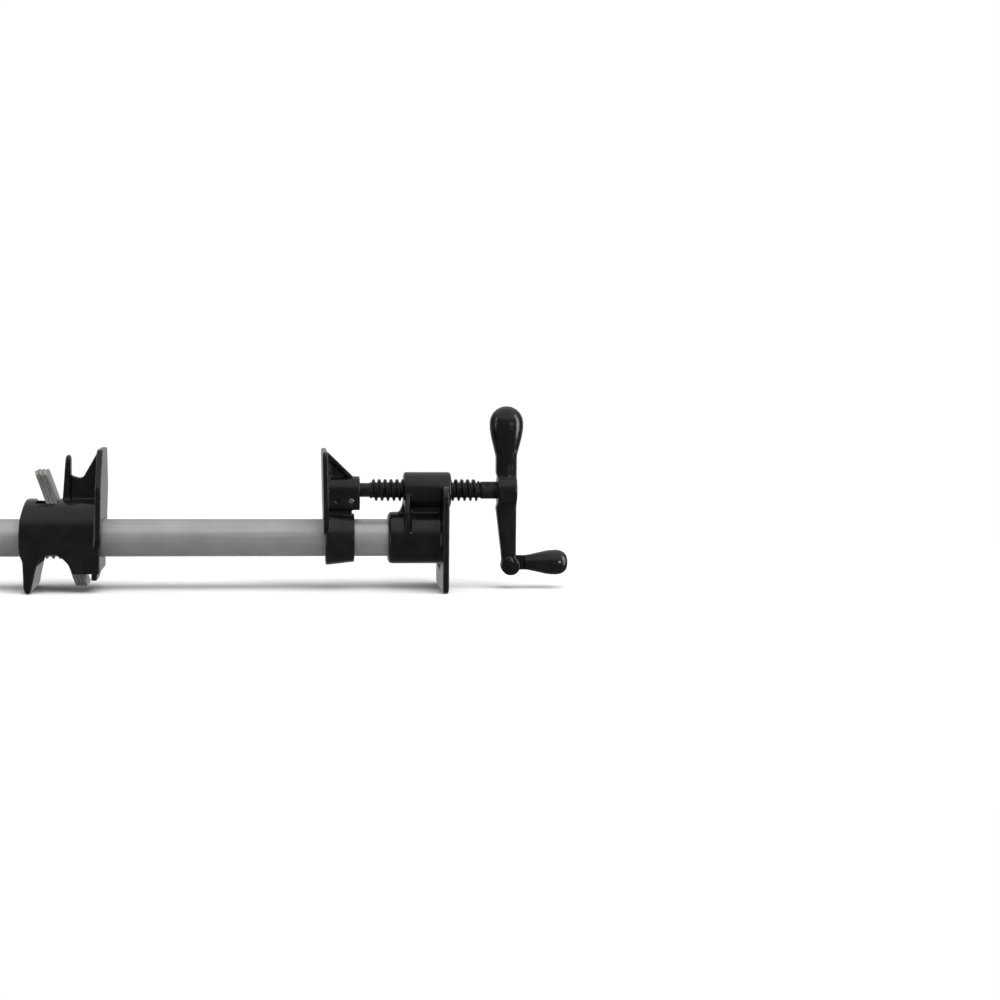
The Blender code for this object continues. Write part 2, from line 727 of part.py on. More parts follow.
def build_crank(parent):
    """Make the crank: ball weight, arms, hub and the forked knuckle."""
    right = HUB_RIGHT
    ball = CRANK_BALL_DIAMETER / 2
    ball_centre = SCREW_HEIGHT + CRANK_BALL_RISE
    arm_left = right - CRANK_ARM_WIDTH
    end_left = right - CRANK_ARM_END_WIDTH
    arm_outline = [
        (arm_left, ball_centre),
        (arm_left, SCREW_HEIGHT - CRANK_HUB_DIAMETER / 2),
        (end_left, KNUCKLE.z + KNUCKLE_DIAMETER / 2),
        (end_left, KNUCKLE.z),
        (right, KNUCKLE.z),
        (right, ball_centre),
    ]
    crank = extruded("crank", arm_outline, CRANK_ARM_THICKNESS, ALONG_Y)
    crank = softened(crank, CRANK_ARM_ROUNDING)
    crown = quarter_round(ball, CRANK_BALL_CROWN, CROWN_STEPS)[:-1]
    neck = [
        (ball * wide, -CRANK_BALL_RISE * drop)
        for drop, wide in BALL_NECK_SHARES
    ]
    ball_profile = crown + neck + [(0, neck[-1][1])]
    ball_place = (right - CRANK_ARM_WIDTH / 2, 0, ball_centre)
    ball_shape = turned("ball", ball_profile, ALONG_Z, ball_place, SMALL_SEGMENTS + 4)
    hub = rod("hub", CRANK_HUB_DIAMETER / 2, HUB_LEFT, HUB_RIGHT, ALONG_X, SCREW_LINE)
    hub = softened(hub, CRANK_ARM_ROUNDING / 2)
    knuckle = rod("knuckle", KNUCKLE_DIAMETER / 2, -KNUCKLE_WIDTH / 2, KNUCKLE_WIDTH / 2,
                  ALONG_Y, KNUCKLE)
    knuckle = softened(knuckle, CRANK_ARM_ROUNDING / 3, 1)
    face = rod("hub_face", CRANK_HUB_DIAMETER / 2 + SINK, arm_left - CUT_OVERRUN, HUB_LEFT, ALONG_X,
               SCREW_LINE)
    crank = joined(combined(crank, face, "DIFFERENCE"), ball_shape, hub, knuckle)
    radius = KNUCKLE_DIAMETER / 2
    reach = radius + CUT_OVERRUN
    slot_top = GRIP_PIVOT.z + TONGUE_EYE_DIAMETER / 2 + FORK_SLOT_CLEARANCE
    cut(crank, block("fork_slot", (KNUCKLE.x - reach, -FORK_SLOT / 2, KNUCKLE.z - reach),
                     (KNUCKLE.x + reach, FORK_SLOT / 2, slot_top)))
    cut(crank, rod("rivet_hole", RIVET_DIAMETER / 2 + GAP, -KNUCKLE_WIDTH, KNUCKLE_WIDTH,
                   ALONG_Y, GRIP_PIVOT, SMALL_SEGMENTS))
    half = TENON_WIDTH / 2 + GAP
    cut(crank, block("tenon_hole", (HUB_LEFT - CUT_OVERRUN, -half, SCREW_HEIGHT - half),
                     (HUB_RIGHT + CUT_OVERRUN, half, SCREW_HEIGHT + half)))
    cut(crank, rod("peen_seat", PEENED_DIAMETER / 2 + GAP, HUB_RIGHT - PEENED_HEIGHT - GAP,
                   HUB_RIGHT + CUT_OVERRUN, ALONG_X, SCREW_LINE, SMALL_SEGMENTS))
    return finish(crank, BLACK_PAINT, (CRANK_CENTRE, 0, SCREW_HEIGHT), parent)


def build_rivet(parent):
    """Make the rivet that the grip folds on, with a domed head on each side."""
    shank = RIVET_DIAMETER / 2
    head = RIVET_HEAD_DIAMETER / 2
    seat = KNUCKLE_WIDTH / 2 + GAP
    dome = [
        (radius, seat + height)
        for radius, height in quarter_round(head, RIVET_HEAD_HEIGHT, DOME_STEPS)
    ]
    top = dome + [(shank, seat)]
    bottom = [(radius, -height) for radius, height in reversed(top)]
    rivet = turned("grip_rivet", top + bottom, ALONG_Y, GRIP_PIVOT, SMALL_SEGMENTS)
    return finish(rivet, BLACK_PAINT, GRIP_PIVOT, parent)


def build_grip(parent):
    """Make the teardrop grip with the flat tongue that turns in the crank's fork."""
    radius = GRIP_DIAMETER / 2
    length = GRIP_LENGTH - GRIP_NECK_START
    profile = [
        (radius * wide, GRIP_NECK_START + length * along)
        for along, wide in reversed(GRIP_PROFILE_SHARES)
    ]
    profile = [(0, GRIP_LENGTH)] + profile + [(0, GRIP_NECK_START)]
    place = GRIP_PIVOT - Vector((0, 0, GRIP_AXIS_DROP))
    grip = turned("handle_grip", profile, ALONG_X, place, SMALL_SEGMENTS + 4)
    half = TONGUE_WIDTH / 2
    eye = TONGUE_EYE_DIAMETER / 2
    end = GRIP_NECK_START + half
    tongue_outline = rounded([
        (-eye, -eye, eye - SINK),
        (TONGUE_TAPER_LENGTH, -GRIP_AXIS_DROP - half, 0),
        (end, -GRIP_AXIS_DROP - half, 0),
        (end, half - GRIP_AXIS_DROP, 0),
        (TONGUE_TAPER_LENGTH, half - GRIP_AXIS_DROP, 0),
        (-eye, eye, eye - SINK),
    ])
    tongue = extruded("tongue", tongue_outline, TONGUE_THICKNESS, ALONG_Y, GRIP_PIVOT)
    grip = joined(grip, tongue)
    cut(grip, rod("tongue_hole", RIVET_DIAMETER / 2 + GAP, -KNUCKLE_WIDTH / 2,
                  KNUCKLE_WIDTH / 2, ALONG_Y, GRIP_PIVOT, SMALL_SEGMENTS))
    return finish(grip, BLACK_PAINT, GRIP_PIVOT, parent)


def jaw_plate(name, outline, thickness, face, lean):
    """Make a jaw plate whose working face passes through the pipe's top line and leans."""
    hinge = Vector((face, 0, PIPE_AXIS_HEIGHT + PIPE_RADIUS))
    centre = (face + math.copysign(thickness / 2, lean), 0, 0)
    plate = softened(extruded(name, outline, thickness, ALONG_X, centre), thickness / 5, 1)
    turn = Matrix.Translation(hinge) @ Matrix.Rotation(-lean, 4, "Y") @ Matrix.Translation(-hinge)
    plate.matrix_world = turn
    return settled(plate)


def build_front_jaw(parent):
    """Make the front jaw casting: plate, ring, boss for the screw's end, neck and brace."""
    half = JAW_PLATE_WIDTH / 2
    heel_half = RING_BACK_DIAMETER / 2
    plate_outline = rounded(mirrored([
        (half, PIPE_AXIS_HEIGHT + JAW_TOP_RISE, JAW_CORNER_RADIUS),
        (half, PIPE_AXIS_HEIGHT + JAW_SHOULDER_RISE, JAW_CORNER_RADIUS * 2),
        (heel_half, PIPE_AXIS_HEIGHT + JAW_HEEL_RISE, 0),
    ]))
    jaw = jaw_plate("front_jaw", plate_outline, JAW_PLATE_THICKNESS, JAW_FACE, TOE_IN)
    ring_profile = [
        (0, RING_RIGHT),
        (RING_BACK_DIAMETER / 2, RING_RIGHT),
        (RING_FRONT_DIAMETER / 2, RING_LEFT + RIM_CHAMFER),
        (RING_FRONT_DIAMETER / 2 - RIM_CHAMFER, RING_LEFT),
        (0, RING_LEFT),
    ]
    ring = turned("ring", ring_profile, ALONG_X, PIPE_LINE)
    boss_half = BOSS_WIDTH / 2
    boss_left = JAW_FACE + JAW_PLATE_THICKNESS / 2
    boss_outline = rounded(mirrored([
        (boss_half, SCREW_HEIGHT + BOSS_TOP, boss_half - SINK),
        (boss_half, SCREW_HEIGHT - BOSS_BOTTOM, BOSS_BOTTOM_RADIUS),
    ]), CORNER_STEPS + 3)
    boss_centre = ((boss_left + BOSS_RIGHT) / 2, 0, 0)
    boss = extruded("boss", boss_outline, BOSS_RIGHT - boss_left, ALONG_X, boss_centre)
    neck = block(
        "neck_web",
        (boss_left, -NECK_WEB_WIDTH / 2, PIPE_AXIS_HEIGHT + PIPE_RADIUS),
        (RING_RIGHT - NECK_WEB_INSET, NECK_WEB_WIDTH / 2, SCREW_HEIGHT - BOSS_BOTTOM / 2),
    )
    brace = build_brace(boss_left)
    jaw = joined(jaw, ring, boss, neck, brace)
    cut(jaw, rod("ring_bore", BORE_RADIUS, RING_LEFT - CUT_OVERRUN, RING_RIGHT + CUT_OVERRUN,
                 ALONG_X, PIPE_LINE))
    cut(jaw, rod("screw_hole", COLLAR_DIAMETER / 2 + GAP, COLLAR_LEFT - GAP,
                 BOSS_RIGHT + CUT_OVERRUN, ALONG_X, SCREW_LINE, SMALL_SEGMENTS))
    pin_line = (JAW_PIN_X, 0, SCREW_HEIGHT - JAW_PIN_DROP)
    cut(jaw, rod("pin_hole", JAW_PIN_DIAMETER / 2 + GAP, -BOSS_WIDTH, BOSS_WIDTH, ALONG_Y,
                 pin_line, SMALL_SEGMENTS))
    for side in (-1, 1):
        bottom = side * (boss_half - DIMPLE_DEPTH)
        mouth = side * (boss_half + CUT_OVERRUN)
        cut(jaw, rod(f"dimple_{side}", DIMPLE_DIAMETER / 2, min(bottom, mouth),
                     max(bottom, mouth), ALONG_Y,
                     (JAW_PIN_X - DIMPLE_FROM_PIN, 0, SCREW_HEIGHT - JAW_PIN_DROP),
                     SMALL_SEGMENTS))
    return finish(jaw, BLACK_PAINT, (JAW_FACE, 0, PIPE_AXIS_HEIGHT), parent)


def build_brace(left):
    """Make the sloping brace from the plate's top to the boss, recessed on both sides."""
    top = PIPE_AXIS_HEIGHT + JAW_TOP_RISE - JAW_PLATE_THICKNESS / 2
    boss_top = SCREW_HEIGHT + BOSS_TOP
    right = BOSS_RIGHT - BRACE_INSET
    start = left + JAW_PLATE_THICKNESS / 2
    outline = [(left, top), (left, SCREW_HEIGHT), (right, SCREW_HEIGHT), (right, boss_top),
               (start, top)]
    brace = extruded("brace", outline, BRACE_THICKNESS, ALONG_Y)
    slope = (top - boss_top) / (right - start)
    rim = BRACE_RIM * math.hypot(1, slope)
    recess_left = start + BRACE_RIM / 2
    recess_bottom = boss_top - BRACE_RIM
    recess_top = top - slope * (recess_left - start) - rim
    recess_right = start + (top - rim - recess_bottom) / slope
    recess = [(recess_left, recess_top), (recess_left, recess_bottom),
              (recess_right, recess_bottom)]
    depth = (BRACE_THICKNESS - BRACE_WEB_THICKNESS) / 2
    for side in (-1, 1):
        centre = side * (BRACE_WEB_THICKNESS / 2 + depth)
        pocket = extruded("brace_pocket", recess, depth * 2, ALONG_Y, (0, centre, 0))
        brace = combined(brace, pocket, "DIFFERENCE")
    return brace


def build_jaw_pin(parent):
    """Make the pin that holds the screw's collar in the boss."""
    radius = JAW_PIN_DIAMETER / 2
    reach = BOSS_WIDTH / 2
    chamfer = radius / 5
    profile = [
        (0, reach),
        (radius - chamfer, reach),
        (radius, reach - chamfer),
        (radius, chamfer - reach),
        (radius - chamfer, -reach),
        (0, -reach),
    ]
    place = (JAW_PIN_X, 0, SCREW_HEIGHT - JAW_PIN_DROP)
    pin = turned("jaw_pin", profile, ALONG_Y, place, SMALL_SEGMENTS)
    return finish(pin, PIN_STEEL, place, parent)


def arch_corners(half, crown, crown_radius, foot_half, foot):
    """Give the corners of an upside-down U with a round top over legs that spread a little."""
    return mirrored([
        (half, crown, crown_radius),
        (half, PIPE_AXIS_HEIGHT, 0),
        (foot_half, foot, 0),
    ])


def build_tail_stop(parent):
    """Make the tail casting: clutch housing on its foot, jaw plate, release tab and web."""
    side = [
        (TAIL_LEFT + HOUSING_LENGTH * along, HOUSING_HEIGHT * up)
        for along, up in HOUSING_SIDE_SHARES
    ]
    top_left, top_right = side[0], side[-1]
    side[0] = (top_left[0], HOUSING_HEIGHT * SIDE_TOP_SHARE)
    side[-1] = (top_right[0], HOUSING_HEIGHT * SIDE_TOP_SHARE)
    tail = extruded("tail_stop", side, HOUSING_FOOT_WIDTH * 2, ALONG_Y)
    outer = rounded(arch_corners(HOUSING_WIDTH / 2, HOUSING_HEIGHT, HOUSING_CROWN_RADIUS,
                                 HOUSING_FOOT_WIDTH / 2, -CUT_OVERRUN), CORNER_STEPS * 3)
    middle = (TAIL_LEFT + TAIL_LENGTH / 2, 0, 0)
    shell = extruded("housing_shell", outer, TAIL_LENGTH * 2, ALONG_X, middle)
    tail = combined(tail, shell, "INTERSECT")
    inner_half = HOUSING_WIDTH / 2 - HOUSING_WALL
    inner = rounded(arch_corners(inner_half, PIPE_AXIS_HEIGHT + inner_half,
                                 HOUSING_CROWN_RADIUS - HOUSING_WALL,
                                 HOUSING_FOOT_WIDTH / 2 - HOUSING_WALL, -CUT_OVERRUN * 2),
                    CORNER_STEPS * 3)
    cavity_right = TAIL_FACE - TAIL_PLATE_THICKNESS
    cavity_centre = ((CAVITY_LEFT + cavity_right) / 2, 0, 0)
    cavity = extruded("cavity", inner, cavity_right - CAVITY_LEFT, ALONG_X, cavity_centre)
    cavity = combined(cavity, build_foot_wall(), "DIFFERENCE")
    tail = combined(tail, cavity, "DIFFERENCE")
    tail = joined(tail, build_tail_plate(), build_tab(), build_tail_web())
    cut(tail, rod("tail_bore", BORE_RADIUS, TAIL_LEFT - CUT_OVERRUN, TAIL_FACE + CUT_OVERRUN,
                  ALONG_X, PIPE_LINE))
    cut(tail, build_slot_cutter())
    return finish(tail, BLACK_PAINT, (TAIL_FACE, 0, PIPE_AXIS_HEIGHT), parent)


def build_foot_wall():
    """Make the block that the cavity leaves solid, so that the foot is one wall from side to side."""
    outline = [
        (CAVITY_LEFT - CUT_OVERRUN, FOOT_WALL_HEIGHT),
        (TAIL_LEFT + FOOT_WALL_REACH, FOOT_WALL_HEIGHT),
        (TAIL_LEFT + FOOT_WALL_REACH, -CUT_OVERRUN * 3),
        (CAVITY_LEFT - CUT_OVERRUN, -CUT_OVERRUN * 3),
    ]
    return extruded("foot_wall", outline, HOUSING_FOOT_WIDTH * 2, ALONG_Y)


def build_tail_plate():
    """Make the tail's jaw plate, upright above the pipe and drawn back below it."""
    front = rounded(mirrored([
        (TAIL_TOP_WIDTH / 2, PIPE_AXIS_HEIGHT + TAIL_TOP_RISE, TAIL_CORNER_RADIUS),
        (TAIL_PLATE_WIDTH / 2, PIPE_AXIS_HEIGHT + TAIL_SHOULDER_RISE, TAIL_CORNER_RADIUS),
        (TAIL_WAIST_WIDTH / 2, PIPE_AXIS_HEIGHT + TAIL_WAIST_RISE, TAIL_CORNER_RADIUS),
        (TAIL_TIP_WIDTH / 2, PIPE_AXIS_HEIGHT - TAIL_TIP_DROP, TAIL_CORNER_RADIUS),
    ]))
    depth = TAIL_TIP_RETREAT + TAIL_LENGTH / 2
    plate = extruded("tail_plate", front, depth * 2, ALONG_X, (TAIL_FACE, 0, 0))
    bend = PIPE_AXIS_HEIGHT
    top = PIPE_AXIS_HEIGHT + TAIL_TOP_RISE + CUT_OVERRUN
    pipe_top = PIPE_AXIS_HEIGHT + PIPE_RADIUS
    top_face = TAIL_FACE + (top - pipe_top) * math.tan(TOE_IN)
    bend_face = TAIL_FACE - (pipe_top - bend) * math.tan(TOE_IN)
    tip = PIPE_AXIS_HEIGHT - TAIL_TIP_DROP - CUT_OVERRUN
    tip_face = bend_face - TAIL_TIP_RETREAT
    thick = TAIL_PLATE_THICKNESS
    side = [(top_face, top), (top_face - thick, top), (bend_face - thick, bend),
            (tip_face - thick, tip), (tip_face, tip), (bend_face, bend)]
    profile = extruded("tail_profile", side, TAIL_PLATE_WIDTH * 2, ALONG_Y)
    return softened(combined(plate, profile, "INTERSECT"), thick / 6, 1)


def build_tab():
    """Make the release tab that stands on the housing beside the plates."""
    right = TAIL_FACE - TAB_FROM_FACE
    top = PIPE_AXIS_HEIGHT + TAB_TOP_RISE
    base = PIPE_AXIS_HEIGHT + HOUSING_WIDTH / 2 - HOUSING_WALL / 2
    front = rounded(mirrored([
        (TAB_WIDTH / 2, top, TAB_CORNER_RADIUS),
        (TAB_WIDTH / 2, base - HOUSING_WALL * 2, 0),
    ]))
    tab = extruded("tab", front, TAB_BASE_THICKNESS * 2, ALONG_X, (right, 0, 0))
    low = base - HOUSING_WALL * 3
    high = top + CUT_OVERRUN
    side = [(right - TAB_TOP_THICKNESS, high), (right - TAB_BASE_THICKNESS, base),
            (right - TAB_BASE_THICKNESS, low), (right, low), (right, high)]
    profile = extruded("tab_profile", side, TAB_WIDTH * 2, ALONG_Y)
    tab = combined(tab, profile, "INTERSECT")
    tab = softened(tab, TAB_TOP_THICKNESS / 3, 1)
    room = rod("tab_room", HOUSING_WIDTH / 2 - HOUSING_WALL / 2, TAIL_LEFT, TAIL_FACE, ALONG_X,
               PIPE_LINE)
    return combined(tab, room, "DIFFERENCE")


def build_tail_web():
    """Make the web that braces the jaw plate to the tab, dipped in the middle."""
    left = TAIL_FACE - TAB_FROM_FACE - TAB_TOP_THICKNESS / 2
    right = TAIL_FACE - TAIL_PLATE_THICKNESS / 2
    base = PIPE_AXIS_HEIGHT + HOUSING_WIDTH / 2 - HOUSING_WALL / 2
    dip = PIPE_AXIS_HEIGHT + TAIL_WEB_DIP
    start = TAIL_FACE - TAB_FROM_FACE
    outline = [
        (left, base),
        (right, base),
        (right, PIPE_AXIS_HEIGHT + TAIL_WEB_TOP),
        (TAIL_FACE - TAIL_PLATE_THICKNESS, PIPE_AXIS_HEIGHT + TAIL_WEB_TOP - SINK),
        (start + TAIL_WEB_SLOPE_START, dip + TAIL_WEB_LIFT / 2),
        (start + TAIL_WEB_DIP_OFFSET, dip),
        (start, dip + TAIL_WEB_LIFT),
        (left, dip + TAIL_WEB_LIFT),
    ]
    return extruded("tail_web", outline, TAIL_WEB_THICKNESS, ALONG_Y)


def build_slot_cutter():
    """Make the cutter for the plates' slot, whose right side leans as the plates do."""
    top = FULCRUM_HEIGHT + CUT_OVERRUN
    bottom = FULCRUM_HEIGHT - SLOT_DEPTH
    lean = math.tan(PLATE_TILT)
    outline = [
        (FULCRUM_X, top),
        (FULCRUM_X - SLOT_LENGTH, top),
        (FULCRUM_X - SLOT_LENGTH, bottom),
        (FULCRUM_X + SLOT_DEPTH * lean, bottom),
        (FULCRUM_X, FULCRUM_HEIGHT),
    ]
    width = PLATE_TAB_WIDTH + SLOT_SIDE_CLEARANCE * 2
    return extruded("plate_slot", outline, width, ALONG_Y)


def plate_pivot(index):
    """Give the point that a clutch plate turns on, at the top of its right face."""
    x = FULCRUM_X - GAP / math.cos(PLATE_TILT) - PLATE_SPACING * index
    return Vector((x, 0, FULCRUM_HEIGHT))


def build_plate(index, parent):
    """Make one clutch plate: a bored disc with a tab above and a tail below."""
    lift = HOUSING_TOP_RISE / math.cos(PLATE_TILT) - PLATE_THICKNESS / 2 * math.tan(PLATE_TILT)
    tab_half = PLATE_TAB_WIDTH / 2
    tail_half = PLATE_TAIL_WIDTH / 2
    body = PLATE_BODY_DIAMETER / 2
    above = math.sqrt(body ** 2 - tab_half ** 2)
    below = math.sqrt(body ** 2 - tail_half ** 2)
    tab_outline = rounded(mirrored([
        (tab_half, PLATE_ABOVE_AXIS, PLATE_CORNER_RADIUS),
        (tab_half, 0, 0),
    ]))
    tail_outline = rounded(mirrored([
        (tail_half, 0, 0),
        (tail_half, -PLATE_BELOW_AXIS, PLATE_CORNER_RADIUS),
    ]))
    arc_top = math.degrees(math.atan2(above, tab_half))
    arc_bottom = -math.degrees(math.atan2(below, tail_half))
    steps = CORNER_STEPS + 2
    right_side = []
    for step in range(steps + 1):
        angle = math.radians(arc_top + (arc_bottom - arc_top) * step / steps)
        right_side.append((body * math.cos(angle), body * math.sin(angle)))
    tab_right = [point for point in tab_outline if point[0] > 0 and point[1] > above]
    tail_right = [point for point in tail_outline if point[0] > 0 and point[1] < -below]
    right = tab_right + right_side + tail_right
    outline = right + [(-across, up) for across, up in reversed(right)]
    name = f"clutch_plate_{index + 1}"
    shifted = [(across, up - lift) for across, up in outline]
    plate = extruded(name, shifted, PLATE_THICKNESS, ALONG_X, (-PLATE_THICKNESS / 2, 0, 0))
    bore = rod("plate_bore", PLATE_BORE_DIAMETER / 2, -PLATE_THICKNESS * 2, PLATE_THICKNESS,
               ALONG_X, (0, 0, -lift))
    plate = combined(plate, bore, "DIFFERENCE")
    pivot = plate_pivot(index)
    plate.matrix_world = Matrix.Translation(pivot) @ Matrix.Rotation(-PLATE_TILT, 4, "Y")
    return finish(settled(plate), ZINC_PLATE, pivot, parent)


def spring_points():
    """Give the points of the spring's wire, from the end wall to the leaning plates."""
    radius = PIPE_RADIUS + SPRING_CLEARANCE + SPRING_WIRE / 2
    start = CAVITY_LEFT + GAP + SPRING_WIRE / 2
    last = plate_pivot(PLATE_COUNT - 1)
    lean = math.tan(PLATE_TILT)
    back = (PLATE_THICKNESS + GAP + SPRING_WIRE / 2) / math.cos(PLATE_TILT)
    count = SPRING_CURLS * SPRING_POINTS
    points = []
    for step in range(count + 1):
        angle = 2 * math.pi * step / SPRING_POINTS
        y = radius * math.sin(angle)
        z = PIPE_AXIS_HEIGHT - radius * math.cos(angle)
        end = last.x - back + (last.z - z) * lean
        points.append(Vector((start + (end - start) * step / count, y, z)))
    return points


def spring_self_gap(points):
    """Give the least gap between the wire's turns, measured between its points."""
    least = SPRING_WIRE * SPRING_CURLS
    for index, point in enumerate(points):
        for other in points[index + SPRING_POINTS // 2:]:
            least = min(least, (other - point).length - SPRING_WIRE)
    return least


def build_spring(parent):
    """Make the clutch spring as one unbroken wire."""
    points = spring_points()
    gap = spring_self_gap(points)
    print(f"clutch spring: least gap to itself {gap * 1000:.2f} mm, wanted over "
          f"{SPRING_LEAST_GAP * 1000:.2f} mm")
    curve = bpy.data.curves.new("clutch_spring", "CURVE")
    curve.dimensions = "3D"
    curve.bevel_depth = SPRING_WIRE / 2
    curve.bevel_resolution = 1
    curve.use_fill_caps = True
    spline = curve.splines.new("POLY")
    spline.points.add(len(points) - 1)
    for target, point in zip(spline.points, points):
        target.co = (*point, 1)
    spring = bpy.data.objects.new("clutch_spring", curve)
    PARTS.objects.link(spring)
    return finish(settled(spring), SPRING_STEEL, (CAVITY_LEFT, 0, PIPE_AXIS_HEIGHT), parent)


def main():
    """Build every piece and hang the moving ones on their joints' axes."""
    build_pipe()
    build_head()
    jaw_axis = axis_marker("jaw_slide_axis", (JAW_FACE, 0, PIPE_AXIS_HEIGHT))
    build_front_jaw(jaw_axis)
    build_jaw_pin(jaw_axis)
    screw_axis = axis_marker("screw_axis", (THREAD_LEFT, 0, SCREW_HEIGHT), jaw_axis)
    build_spindle(screw_axis)
    build_crank(screw_axis)
    build_rivet(screw_axis)
    grip_axis = axis_marker("grip_axis", GRIP_PIVOT, screw_axis)
    build_grip(grip_axis)
    tail_axis = axis_marker("tail_slide_axis", (TAIL_FACE, 0, PIPE_AXIS_HEIGHT))
    build_tail_stop(tail_axis)
    build_spring(tail_axis)
    for index in range(PLATE_COUNT):
        plate_axis = axis_marker(f"plate_axis_{index + 1}", plate_pivot(index), tail_axis)
        build_plate(index, plate_axis)


main()
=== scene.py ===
"""Looks of a pipe clamp: cast, turned and wound pieces, their finishes, floor, light and camera.

Lengths are in metres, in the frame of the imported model: +X runs along the pipe toward the crank,
+Z is up, and the castings stand on Z = 0.
"""

import logging
import math
from dataclasses import dataclass, field
from enum import Enum
from typing import Sequence

import bmesh
import bpy
from mathutils import Matrix, Vector


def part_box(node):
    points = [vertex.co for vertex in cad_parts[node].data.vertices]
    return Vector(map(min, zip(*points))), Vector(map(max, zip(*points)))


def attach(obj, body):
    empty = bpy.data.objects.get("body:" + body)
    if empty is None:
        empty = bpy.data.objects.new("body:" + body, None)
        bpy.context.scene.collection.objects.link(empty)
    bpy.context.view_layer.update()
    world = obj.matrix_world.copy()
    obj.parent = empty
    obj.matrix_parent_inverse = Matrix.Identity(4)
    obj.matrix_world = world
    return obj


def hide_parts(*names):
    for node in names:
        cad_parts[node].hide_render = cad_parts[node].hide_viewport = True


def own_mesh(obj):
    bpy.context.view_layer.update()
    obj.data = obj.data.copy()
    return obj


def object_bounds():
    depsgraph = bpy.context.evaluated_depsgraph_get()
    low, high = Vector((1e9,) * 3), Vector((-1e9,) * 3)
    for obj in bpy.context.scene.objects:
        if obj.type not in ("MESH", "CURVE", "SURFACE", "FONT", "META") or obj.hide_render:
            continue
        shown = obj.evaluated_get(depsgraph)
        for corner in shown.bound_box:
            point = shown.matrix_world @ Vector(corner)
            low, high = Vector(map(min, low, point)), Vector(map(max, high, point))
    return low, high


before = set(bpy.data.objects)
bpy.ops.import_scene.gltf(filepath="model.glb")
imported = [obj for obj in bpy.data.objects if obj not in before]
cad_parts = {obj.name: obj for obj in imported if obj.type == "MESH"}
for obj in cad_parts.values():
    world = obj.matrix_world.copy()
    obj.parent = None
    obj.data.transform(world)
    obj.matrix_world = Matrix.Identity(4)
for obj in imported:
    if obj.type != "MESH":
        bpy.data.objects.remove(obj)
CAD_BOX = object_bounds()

LOG = logging.getLogger("pipe_clamp")
MERGE_DISTANCE = 0.00001
SEAM_DISTANCE = 0.000001
FLAT_ANGLE = math.radians(0.5)
SMOOTH_ANGLE = math.radians(35)
RIGHT_ANGLE = 90
MIX_SHARE = 0
MIX_COLOURS = (6, 7)
MIX_RESULT = 2
COMMON_RANGE = (0.3, 0.7)


class Axis(Enum):
    """The direction that a turned piece's own axis points in."""

    X = Matrix(((0, 0, 1, 0), (1, 0, 0, 0), (0, 1, 0, 0), (0, 0, 0, 1)))
    Y = Matrix(((1, 0, 0, 0), (0, 0, -1, 0), (0, 1, 0, 0), (0, 0, 0, 1)))


class Body(Enum):
    """The bodies of the clamp, apart from the clutch plates, which are each a body of their own."""

    HEAD = "head"
    FRONT_JAW = "front_jaw"
    SCREW = "screw"
    HANDLE = "handle"
    TAIL_STOP = "tail_stop"


class NodeMaker:
    """Adds nodes to a tree and joins them, so that a finish or a shape reads as a short list."""

    def __init__(self, tree: bpy.types.NodeTree) -> None:
        """Keep the shader or geometry tree to build in."""
        self.tree = tree

    def node(self, kind: str, **settings: object) -> bpy.types.Node:
        """Add a node.

        Args:
            kind: The node's type.
            **settings: Properties to set on it.

        Returns:
            The new node.
        """
        made = self.tree.nodes.new(kind)
        for name, value in settings.items():
            setattr(made, name, value)
        return made

    def feed(self, target: bpy.types.NodeSocket, value: object) -> None:
        """Link a socket to the target, or set a plain value on it.

        Args:
            target: The input to feed.
            value: A socket or a plain value.
        """
        if isinstance(value, bpy.types.NodeSocket):
            self.tree.links.new(value, target)
        else:
            target.default_value = value

    def sum(self, operation: str, *values: object) -> bpy.types.NodeSocket:
        """Add an arithmetic node.

        Args:
            operation: Its operation, such as MULTIPLY.
            *values: Sockets or numbers to feed it.

        Returns:
            Its result.
        """
        made = self.node("ShaderNodeMath", operation=operation)
        for target, value in zip(made.inputs, values):
            self.feed(target, value)
        return made.outputs[0]

    def mapped(self, value: bpy.types.NodeSocket, given: Sequence[float],
               wanted: Sequence[float], curve: str = "LINEAR") -> bpy.types.NodeSocket:
        """Map a value from one range to another, and hold it between the ends.

        Args:
            value: The value.
            given: The two values that give the ends of the new range.
            wanted: The two ends of the new range.
            curve: How it runs between them, such as LINEAR or SMOOTHSTEP.

        Returns:
            The new value.
        """
        made = self.node("ShaderNodeMapRange", interpolation_type=curve)
        labels = ("Value", "From Min", "From Max", "To Min", "To Max")
        for label, part in zip(labels, (value, *given, *wanted)):
            self.feed(made.inputs[label], part)
        return made.outputs["Result"]


@dataclass(frozen=True)
class Pattern:
    """A noise on a piece's own coordinates."""

    size: float
    detail: float = 2.0
    roughness: float = 0.5
    stretch: tuple = (1, 1, 1)


